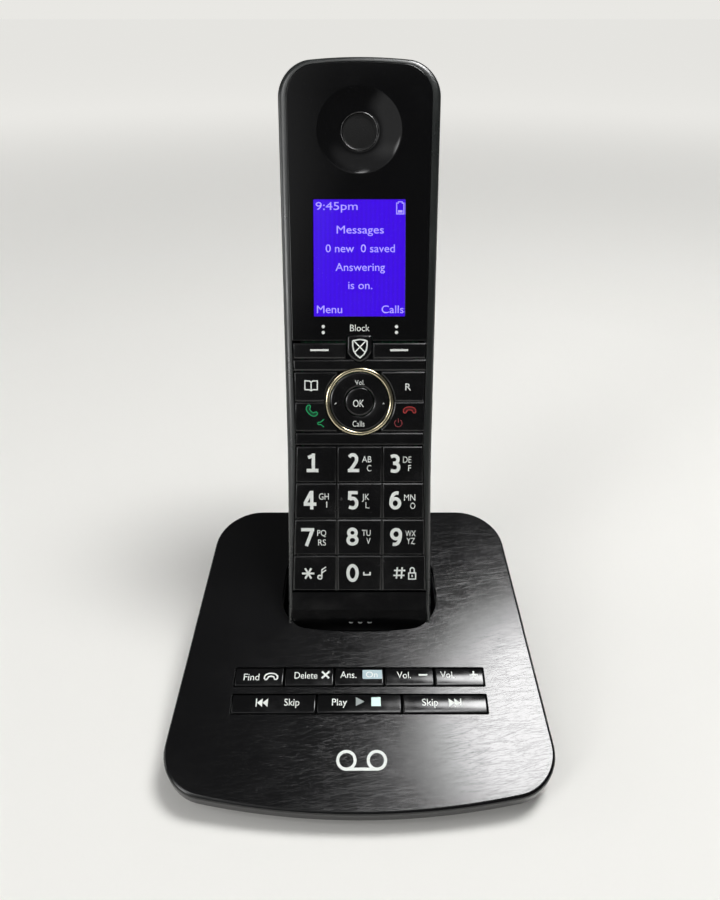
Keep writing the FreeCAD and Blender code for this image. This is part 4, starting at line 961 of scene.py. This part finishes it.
panel = upright("display_panel", rectangle(*DISPLAY_SIZE, 0.2), DISPLAY_LEVELS)
fit(panel, HANDSET, display_glow, "handset", ["display_module"])
printed("display_words",
        [("words", *facts, WORDS_HIGH) for facts in DISPLAY_TEXT]
        + [("line", 0.28, [(11.1, 13.4), (13.3, 13.4), (13.3, 16.6), (12.8, 16.6), (12.8, 17.0),
                           (11.6, 17.0), (11.6, 16.6), (11.1, 16.6)], True),
           ("fill", [(11.5, 13.8), (12.9, 13.8), (12.9, 14.5), (11.5, 14.5)])],
        DISPLAY_LEVELS[1], "handset", display_words)

# ---- lens and earpiece ----
# A moulded acrylic lens, printed black behind except over the display, covers the upper
# face. It dishes down round the earpiece, a pressed disc of fine black gauze.

LENS_NEAR = -25.05
LENS_GAP = 0.12
LENS_FOOT = -1.2
LENS_ROUND = 0.3
LENS_EASE = 0.12
LENS_BLACK = "070708"
CLEAR = "FFFFFF"
PANE_GAP = 0.04
WINDOW_CORNER = 0.25
DISH_MIDDLE = (0, 37.7)
DISH_RADIUS = 13
DISH_DEPTH = 1.3
DISH_CURVE = 1.75
DISH_STEPS = 14
DISH_WALL = 1
EARPIECE_RADIUS = 5.5
RIM_ROUND = 0.2
RIM_LEVEL = -1.32
RIM_FOOT = -2.4
EARPIECE_GAP = 0.25
GAUZE_BLACK = "070707"
GAUZE_MM = 0.35
SMEAR_MM = 14.29
BUFF_MM = 2.5

# Black-backed acrylic: a deep, very smooth gloss with a few smears from the ear.
backed_acrylic = surface("black_backed_acrylic", LENS_BLACK, (0.05, 0.18), SMEAR_MM, spread=(0.45, 0.75),
                         shader={"IOR": 1.49}, pattern={"Detail": 6.0, "Roughness": 0.65})

# Clear acrylic over the display lets the picture through and keeps the lens's gloss.
clear_acrylic = surface("clear_acrylic", CLEAR, (0.0, 0.03), SMEAR_MM, 4.0, (0.4, 0.7),
                        shader={"IOR": 1.49, "Transmission Weight": 1.0})

# Pressed gauze: a matt black weave that only shows close to.
gauze, tree = material("pressed_black_gauze")
weave = textured(tree, "TexVoronoi", GAUZE_MM)
holes = add(tree, "Bump", {
    "Height": weave, "Strength": 0.3, "Distance": 0.00008})
skin = add(tree, "BsdfPrincipled", {
    "Base Color": GAUZE_BLACK, "IOR": 1.5, "Roughness": 0.5, "Specular IOR Level": 0.25,
    "Normal": holes})
add(tree, "OutputMaterial", {"Surface": skin})

# Buffed ABS rim: brighter than the lens, because the buffed bead turns to every lamp.
buffed_abs = surface("buffed_black_abs", LENS_BLACK, (0.1, 0.22), BUFF_MM, spread=(0.35, 0.7),
                     shader={"IOR": 1.53, "Specular IOR Level": 1.0})


def lens_ring(inset, z):
    """The lens's outline, just inside the frame, drawn in by inset, at a level."""
    sides = ((LENS_NEAR, face_half(LENS_NEAR)),) + FACE_SIDES[-2:]
    return raised(outline(sides, (0.5, FACE_CORNERS[1]), bow_high=FACE_TOP_BOW, inset=inset + LENS_GAP,
                          ease=FACE_EASE, steps=24, side_steps=40), z)


hole = EARPIECE_RADIUS + EARPIECE_GAP
dish = [DISH_RADIUS - (DISH_RADIUS - hole) * step / DISH_STEPS for step in range(DISH_STEPS + 1)]
dish = [(radius, -DISH_DEPTH * (1 - ((radius - hole) / (DISH_RADIUS - hole)) ** DISH_CURVE))
        for radius in dish]
lens_levels = [(0, LENS_FOOT)] + quarter(LENS_ROUND, 0, 4)
lens = lofted("display_lens", [lens_ring(inset, z) for inset, z in lens_levels])
dish_back = turned("dish_back", DISH_MIDDLE, [(DISH_RADIUS + DISH_WALL - back, z)
                                              for z, back in ((-3.2, 2.4), (-1.6, 0.2), (-0.7, 0))])
carve(lens, [dish_back], "UNION")
bowl = turned("bowl", DISH_MIDDLE, [(DISH_RADIUS, 1)] + dish + [(hole, -5)])
window = upright("window", rectangle(*DISPLAY_SIZE, WINDOW_CORNER), THROUGH)
notch = upright("notch", shield_shape(SHIELD_ROOMS[1]), THROUGH)
carve(lens, [bowl, window, notch])
ease_edges(lens, LENS_EASE, angle=32)
applied(lens)
fit(lens, HANDSET, backed_acrylic, "handset", ["handset_lens"], crease=40)
pane = lofted("display_pane", [raised(rectangle(*DISPLAY_SIZE, WINDOW_CORNER, inset + PANE_GAP), z)
                               for inset, z in ((0, LENS_FOOT), (0, -0.05), (0.05, 0))])
fit(pane, HANDSET, clear_acrylic, "handset", ["handset_lens"])

disc = [(0.3, -3.1), (EARPIECE_RADIUS, -3.1), (EARPIECE_RADIUS, -1.75), (EARPIECE_RADIUS - 0.08, -1.6),
        (EARPIECE_RADIUS - 0.25, -1.53), (EARPIECE_RADIUS - 0.45, -1.55), (EARPIECE_RADIUS - 0.6, -1.67),
        (EARPIECE_RADIUS * 0.6, -1.61), (0.3, -1.58)]
fit(turned("earpiece_disc", DISH_MIDDLE, disc), HANDSET, gauze, "handset", ["earpiece_cap"])
bead = [(EARPIECE_RADIUS + RIM_ROUND * math.cos(turn), RIM_LEVEL + RIM_ROUND * math.sin(turn))
        for turn in turning(8, 180)]
bead = [(EARPIECE_RADIUS + RIM_ROUND, RIM_FOOT)] + bead + [(EARPIECE_RADIUS - RIM_ROUND, RIM_FOOT)]
fit(turned("earpiece_rim", DISH_MIDDLE, bead, closed=True), HANDSET, buffed_abs, "handset",
    ["earpiece_cap"])

# ---- control ring, rocker and OK key ----
# A vacuum-plated ABS ring in a warm champagne tone frames the four-way rocker, which
# tips on the spreader below it. The OK key stands through its middle.

CHAMPAGNE = "CFC5A6"
RING_OUTER = 10.58
RING_INNER = 9.3
RING_FOOT = -1.0
RING_TOP = 0.25
ROCKER_RADII = (4.65, 9.15)
OK_RADIUS = 4.4
SMALL_CAP = 1.45
PLATE_FLOW_MM = 3.333
CREST = 0.45

# Plated ABS: a bright mirror with the mould's faint flow in it, warmed by its lacquer.
champagne_plate = surface("lacquered_plated_abs", CHAMPAGNE, (0.08, 0.24), PLATE_FLOW_MM, 3.0,
                          shader={"Metallic": 1.0})
# Gloss ABS key tops: fingers wear them more than the face, so they mirror less.
key_gloss = gloss_moulding("gloss_key_abs", KEY_BLACK, 0.14, 0.28)

middle_radius, half_ring = (RING_OUTER + RING_INNER) / 2, (RING_OUTER - RING_INNER) / 2
crest = [(middle_radius + half_ring * math.cos(turn), RING_TOP - CREST + CREST * math.sin(turn))
         for turn in turning(12, 180)]
ring = turned("control_ring", RING_MIDDLE, [(RING_OUTER, RING_FOOT)] + crest + [(RING_INNER, RING_FOOT)],
              closed=True, count=128)
fit(ring, HANDSET, champagne_plate, "handset", ["nav_ring"])

inner, outer = ROCKER_RADII
saddle = [(outer, -2.0), (outer, -0.45), (outer - 0.1, -0.2), (outer - 0.3, -0.08), (outer - 0.7, -0.02),
          (outer - 1.6, -0.04), (outer - 2.6, -0.1), (inner + 0.7, -0.2), (inner + 0.25, -0.28),
          (inner + 0.06, -0.4), (inner, -0.6), (inner, -2.0)]
fit(turned("rocker_cap", RING_MIDDLE, saddle, closed=True), HANDSET, key_gloss, "nav_rocker",
    ["nav_rocker"])
dome = [(0.4, -2.2), (OK_RADIUS, -2.2), (OK_RADIUS, -0.35), (OK_RADIUS - 0.08, -0.12),
        (OK_RADIUS - 0.28, 0.02), (OK_RADIUS - 0.7, 0.08), (OK_RADIUS - 1.6, 0.11), (1.4, 0.13), (0.4, 0.13)]
fit(turned("ok_key_cap", RING_MIDDLE, dome), HANDSET, key_gloss, "ok_key", ["ok_key"])
printed("ok_print", [("words", "OK", -2.23, 1.17, -45.35, 2.2)], 0.13, "ok_key")
printed("rocker_print", [
    ("words", "Vol.", -1.62, 1.33, -38.45, SMALL_CAP), ("words", "Calls", -2.4, 1.33, -51.5, 1.75),
    ("fill", [(-8.2, -44.5), (-7.5, -44.05), (-7.5, -44.35)]),
    ("fill", [(7.8, -44.5), (7.1, -44.35), (7.1, -44.05)])], -0.03, "nav_rocker")
finish_node("nav_spreader", socket_nylon, 0.2)

# ---- keys ----
# Nineteen key tops in gloss ABS are glued to the silicone mat, flush with the face and a
# hair's breadth apart. Digits, letters and signs are printed on their tops.

KEY_GAP = 0.14
KEY_TOP = 0.0
BLOCK_TOP = 0.2
KEY_FOOT = -2.0
KEY_SIDE_GAP = 0.3
NUMBER_ROWS = (-57.7, -69.375, -81.05, -92.725, -104.4)
COLUMN_LINE = 7.15
SOFT_KEYS = (-30.4, -25.6)
SOFT_KEY_INNER = 4.15
SIDE_KEYS = (-34.4, -43.78, -53.2)
SIDE_KEY_INNER = 6.8
SIDE_KEY_CIRCLE = 10.78
OUTLINE_STROKE = 0.23
NUMERAL_STROKE = 1.06
CALL_GREEN = "27A968"
GREEN_FILL = "0A3A23"
END_RED = "B0413F"
RED_FILL = "3C0E10"
DIM_RED = "84383C"
# The pale white of the painted highlights on the chin's voice slots.
SLOT_GLINT_WHITE = "B9BDBB"

# Coloured pad-printed inks: semi-matt, with a faint painted glow so that they stand out on black, though no
# lamp lies behind them.
green_ink = glowing_finish("green_ink_painted_glow", CALL_GREEN, 0.12)
green_fill = glowing_finish("dark_green_ink_painted_glow", GREEN_FILL, 0.1)
red_ink = glowing_finish("red_ink_painted_glow", END_RED, 0.12)
red_fill = glowing_finish("dark_red_ink_painted_glow", RED_FILL, 0.1)
dim_red_ink = glowing_finish("dim_red_ink_painted_glow", DIM_RED, 0.05)
# A pale white with no glow: it paints the highlights on the lower edges of the chin's voice slots.
slot_glint_paint = glowing_finish("painted_slot_glint", SLOT_GLINT_WHITE, 0.0)

# The strokes of each numeral in a box of one by one. One of more than two points is smoothed.
NUMERALS = {
    "1": [[(0.6, 1.1), (0.6, 0)], [(0.7, 0.98), (-0.02, 0.84)], [(-0.2, 0), (1.2, 0)]],
    "2": [[(0.04, 0.86), (0.3, 0.99), (0.64, 0.98), (0.88, 0.82), (0.85, 0.6), (0.62, 0.38), (0.3, 0.13),
           (0.1, 0.0)], [(-0.12, 0), (1.2, 0)]],
    "3": [[(0.02, 0.94), (0.3, 1), (0.64, 0.98), (0.88, 0.84), (0.84, 0.64), (0.62, 0.54), (0.28, 0.52)],
          [(0.28, 0.52), (0.66, 0.5), (0.94, 0.38), (0.98, 0.19), (0.76, 0.03), (0.4, 0), (0, 0.05)]],
    "4": [[(0.72, -0.1), (0.72, 1.1)], [(0.66, 1.02), (0.0, 0.27)], [(-0.12, 0.24), (1.2, 0.24)]],
    "5": [[(1.12, 1), (0.1, 1)], [(0.12, 1.1), (0.08, 0.52)],
          [(0.1, 0.56), (0.4, 0.62), (0.74, 0.57), (0.97, 0.38), (0.94, 0.15), (0.7, 0.01), (0.36, 0),
           (0, 0.05)]],
    "6": [[(0, 0.32), (0.05, 0.62), (0.28, 0.9), (0.6, 1), (0.88, 0.99)]],
    "7": [[(-0.2, 1), (1.14, 1)], [(0.98, 1.0), (0.32, -0.1)]],
    "9": [[(1, 0.68), (0.95, 0.38), (0.72, 0.1), (0.4, 0), (0.12, 0.01)]],
}
# The round parts of the numerals: (middle across, middle up, half width, half height).
BOWLS = {"0": [(0.5, 0.5, 0.5, 0.5)], "6": [(0.5, 0.31, 0.5, 0.31)], "9": [(0.5, 0.69, 0.5, 0.31)],
         "8": [(0.5, 0.76, 0.42, 0.24), (0.5, 0.26, 0.5, 0.26)]}


def smoothed(points, steps=6):
    """Points along a smooth line that passes through the ones given."""
    padded = [points[0]] + list(points) + [points[-1]]
    line = []
    for number in range(len(points) - 1):
        a, b, c, d = (Vector(point) for point in padded[number:number + 4])
        for step in range(steps):
            t = step / steps
            line.append((2 * b + (c - a) * t + (2 * a - 5 * b + 4 * c - d) * t ** 2
                         + (3 * b - a - 3 * c + d) * t ** 3) / 2)
    return [tuple(point) for point in line] + [tuple(points[-1])]


def numeral(sign, left, right, foot, height):
    """The strokes of a bold numeral that fills a box."""
    edge = NUMERAL_STROKE / 2
    wide, tall = right - left - NUMERAL_STROKE, height - NUMERAL_STROKE
    strokes = [(smoothed(points) if len(points) > 2 else points, False)
               for points in NUMERALS.get(sign, [])]
    strokes += [([(x + half * math.cos(turn), y + rise * math.sin(turn)) for turn in turning(32, 360)[:-1]],
                 True) for x, y, half, rise in BOWLS.get(sign, [])]
    return [("line", NUMERAL_STROKE, [(left + edge + wide * x, foot + edge + tall * y) for x, y in points],
             closed) for points, closed in strokes]


# Each lettered key: its numeral's left, right, foot and height, then the same of its letters.
LETTERED = {
    "1": ((-16.85, -13.16, -65.87, 5.94),),
    "2": ((-4.08, -0.34, -65.87, 6.0), ("AB", 0.54, 3.54, -62.75, 1.9), ("C", 2.15, 3.47, -65.58, 1.95)),
    "3": ((9.10, 12.64, -66.1, 5.9), ("DE", 13.45, 16.09, -62.87, 1.94), ("F", 15.08, 16.03, -65.5, 1.86)),
    "4": ((-18.03, -13.96, -77.8, 6.0), ("GH", -13.05, -9.93, -74.61, 1.95)),
    "5": ((-4.10, -0.55, -77.75, 5.9), ("JK", 0.54, 2.88, -74.73, 1.91), ("L", 1.67, 2.80, -77.39, 1.92)),
    "6": ((9.22, 12.95, -77.8, 5.8), ("MN", 13.85, 17.38, -74.94, 1.96), ("O", 15.81, 17.4, -77.6, 1.98)),
    "7": ((-18.66, -14.52, -89.62, 5.86), ("PQ", -13.65, -10.8, -86.31, 1.89),
          ("RS", -13.38, -10.89, -89.41, 1.94)),
    "8": ((-4.41, -0.55, -89.46, 5.85), ("TU", 0.54, 3.3, -86.31, 1.93), ("V", 1.96, 3.3, -88.92, 1.95)),
    "9": ((9.48, 13.30, -89.55, 5.8), ("WX", 14.33, 17.64, -86.44, 1.86),
          ("YZ", 14.75, 17.37, -88.92, 1.95)),
}
SIGNS = {"key_" + digit: numeral(digit, *box) + [("words", *word) for word in words]
         for digit, (box, *words) in LETTERED.items()}
SIGNS["key_4"].append(("line", 0.31, [(-10.58, -77.19), (-10.58, -75.27)]))
STAR_MIDDLE, STAR_HALF = (-16.62, -98.54), 1.95
SIGNS.update({
    "key_star": [("line", 0.62, [(STAR_MIDDLE[0] + side * STAR_HALF * math.cos(turn),
                                  STAR_MIDDLE[1] + side * STAR_HALF * math.sin(turn)) for side in (1, -1)])
                 for turn in (0, math.pi / 3, -math.pi / 3)]
    + [("line", 0.42, arc((-12.9, -99.75), 0.62, 0, 350, 20), True),
       ("line", 0.4, [(-12.25, -99.7), (-12.25, -97.3), (-10.9, -96.4)]),
       ("line", 0.4, [(-12.25, -98.3), (-10.9, -97.4)])],
    "key_0": numeral("0", -4.43, -0.47, -101.3, 5.85)
    + [("line", 0.45, [(1.15, -98.05), (1.15, -98.95), (3.15, -98.95), (3.15, -98.05)])],
    "key_hash": [("line", 0.5, stroke) for stroke in (
        [(11.55, -100.2), (11.85, -96.5)], [(13.1, -100.2), (13.4, -96.5)],
        [(10.6, -99.15), (14.15, -99.15)], [(10.8, -97.55), (14.35, -97.55)])]
    + [("line", 0.38, [(15.5, -100.35), (17.7, -100.35), (17.7, -98.35), (15.5, -98.35)], True),
       ("line", 0.38, [(15.95, -98.3), (15.95, -97.4)] + arc((16.6, -97.3), 0.65, 180, 0, 10)
        + [(17.25, -97.4), (17.25, -98.3)]),
       ("line", 0.4, [(16.6, -99.0), (16.6, -99.7)])],
    "softkey_left": [("line", 0.58, [(-15.5, -27.8), (-9.82, -27.8)])],
    "softkey_right": [("line", 0.58, [(9.28, -27.8), (14.83, -27.8)])],
    "book_key": [("line", 0.36, [(-17.2, -37.25), (-15.75, -37.3), (-15.28, -37.75), (-14.8, -37.3),
                                 (-13.35, -37.25), (-13.35, -40.0), (-14.7, -40.0), (-15.28, -40.3),
                                 (-15.85, -40.0), (-17.2, -40.0)], True),
                 ("line", 0.34, [(-15.28, -37.75), (-15.28, -40.2)])],
    "recall_key": [("words", "R", 14.03, 15.76, -40.21, 2.15)],
})


def key_side(y):
    """How far a key's outer edge stands from the middle at y."""
    return face_half(y) - KEY_SIDE_GAP


def mirrored(shape, across=True, middle=0):
    """A shape turned over across the middle line, or over a level."""
    return [(-x, y) if across else (x, 2 * middle - y) for x, y in reversed(shape)]


def key_cap(name, shape, top=KEY_TOP):
    """A key top of a shape, drawn anticlockwise, with its upper edges rounded."""
    rings = [raised(ribbon(shape, 2 * inset, True)[0], z)
             for inset, z in [(0, KEY_FOOT)] + [(inset, top + fall) for inset, fall in EDGE]]
    fit(lofted(name + "_cap", rings), HANDSET, key_gloss, name, [name])


half_gap = KEY_GAP / 2
for row, names in enumerate((("key_1", "key_2", "key_3"), ("key_4", "key_5", "key_6"),
                             ("key_7", "key_8", "key_9"), ("key_star", "key_0", "key_hash"))):
    top, foot = NUMBER_ROWS[row] - half_gap, NUMBER_ROWS[row + 1] + half_gap
    inner = COLUMN_LINE + half_gap
    right = [(inner, foot), (key_side(foot), foot), (key_side(top), top), (inner, top)]
    inner = COLUMN_LINE - half_gap
    key_cap(names[0], mirrored(right))
    key_cap(names[1], [(-inner, foot), (inner, foot), (inner, top), (-inner, top)])
    key_cap(names[2], right)
foot, top = SOFT_KEYS
right = [(SOFT_KEY_INNER, foot), (key_side(foot), foot), (key_side(top), top), (SOFT_KEY_INNER, top)]
key_cap("softkey_right", right)
key_cap("softkey_left", mirrored(right))
top, foot = SIDE_KEYS[0], SIDE_KEYS[1] + half_gap
centre = RING_MIDDLE[1]
start = math.degrees(math.acos(SIDE_KEY_INNER / SIDE_KEY_CIRCLE))
stop = math.degrees(math.asin((foot - centre) / SIDE_KEY_CIRCLE))
upper = [(key_side(foot), foot), (key_side(top), top), (SIDE_KEY_INNER, top)]
upper += arc(RING_MIDDLE, SIDE_KEY_CIRCLE, start, stop, 14)
key_cap("recall_key", upper)
key_cap("book_key", mirrored(upper))
lower = mirrored(upper, across=False, middle=centre)
key_cap("end_key", lower)
key_cap("call_key", mirrored(lower))
key_cap("block_key", [tuple(point) for point in shield_shape()], BLOCK_TOP)
for name, drawn in SIGNS.items():
    printed(name + "_print", drawn, 0, name)
pip = turned("key_5_pip", (-5.8, -74.6), [(0.42, -0.2), (0.42, 0.05), (0.34, 0.16), (0.2, 0.22),
                                          (0.08, 0.24)], count=20)
fit(pip, HANDSET, key_gloss, "key_5")

SHIELD_PRINT = [(-0.1, -30.15), (-1.25, -29.2), (-2.0, -28.0), (-2.3, -26.6), (-2.3, -25.0), (-1.7, -24.8),
                (0, -24.55), (1.5, -24.8), (2.1, -25.0), (2.1, -26.6), (1.8, -28.0), (1.05, -29.2)]
printed("block_print", [("line", 0.42, SHIELD_PRINT, True), ("line", 0.36, [(-1.8, -25.1), (1.5, -28.5)]),
                        ("line", 0.36, [(1.6, -25.1), (-1.7, -28.5)])], BLOCK_TOP, "block_key")
for name, ink, fill, middle, half, turn in (("call_key", green_ink, green_fill, (-15.3, -46.7), 2.05, 135),
                                            ("end_key", red_ink, red_fill, (15.4, -46.3), 1.95, 0)):
    shape = receiver(middle, half, turn)
    printed(name + "_fill", [("fill", shape)], -0.01, name, fill)
    printed(name + "_print", [("line", OUTLINE_STROKE, shape, True)], 0, name, ink)
printed("loudspeaker_print",
        [("line", 0.24, [(-11.35, -49.2), (-12.3, -50.1), (-13.1, -50.15), (-13.3, -50.5),
                         (-13.1, -50.85), (-12.3, -50.85), (-11.35, -51.65)])], 0, "call_key", green_ink)
printed("power_print", [("line", 0.27, arc((11.9, -50.4), 1.15, 125, 415, 24)),
                        ("line", 0.27, [(11.9, -50.2), (11.9, -48.95)])], 0, "end_key", dim_red_ink)
printed("lens_print",
        [("words", "Block", -3.15, 2.89, -22.01, 2.0)]
        + [("fill", arc((x, y), 0.52, 0, 345, 23)) for x in (-11.4, 11.2) for y in (-20.6, -22.4)],
        0, "handset")
# Three pale arcs under the voice slots are painted highlights, standing in for the light caught on the
# slots' lower edges.
CHIN = (HANDSET @ Matrix.Translation((0, SLOTS_LEVEL, BAR_TOP - chin_drop(SLOTS_LEVEL)))
        @ Matrix.Rotation(math.atan(CHIN_SLOPE), 4, "X"))
printed("mouth_slot_painted_glint", [("line", 0.28, arc((x, 0.35), 0.75, 215, 325, 8)) for x in SLOT_PLACES],
        0, "handset", slot_glint_paint, CHIN)
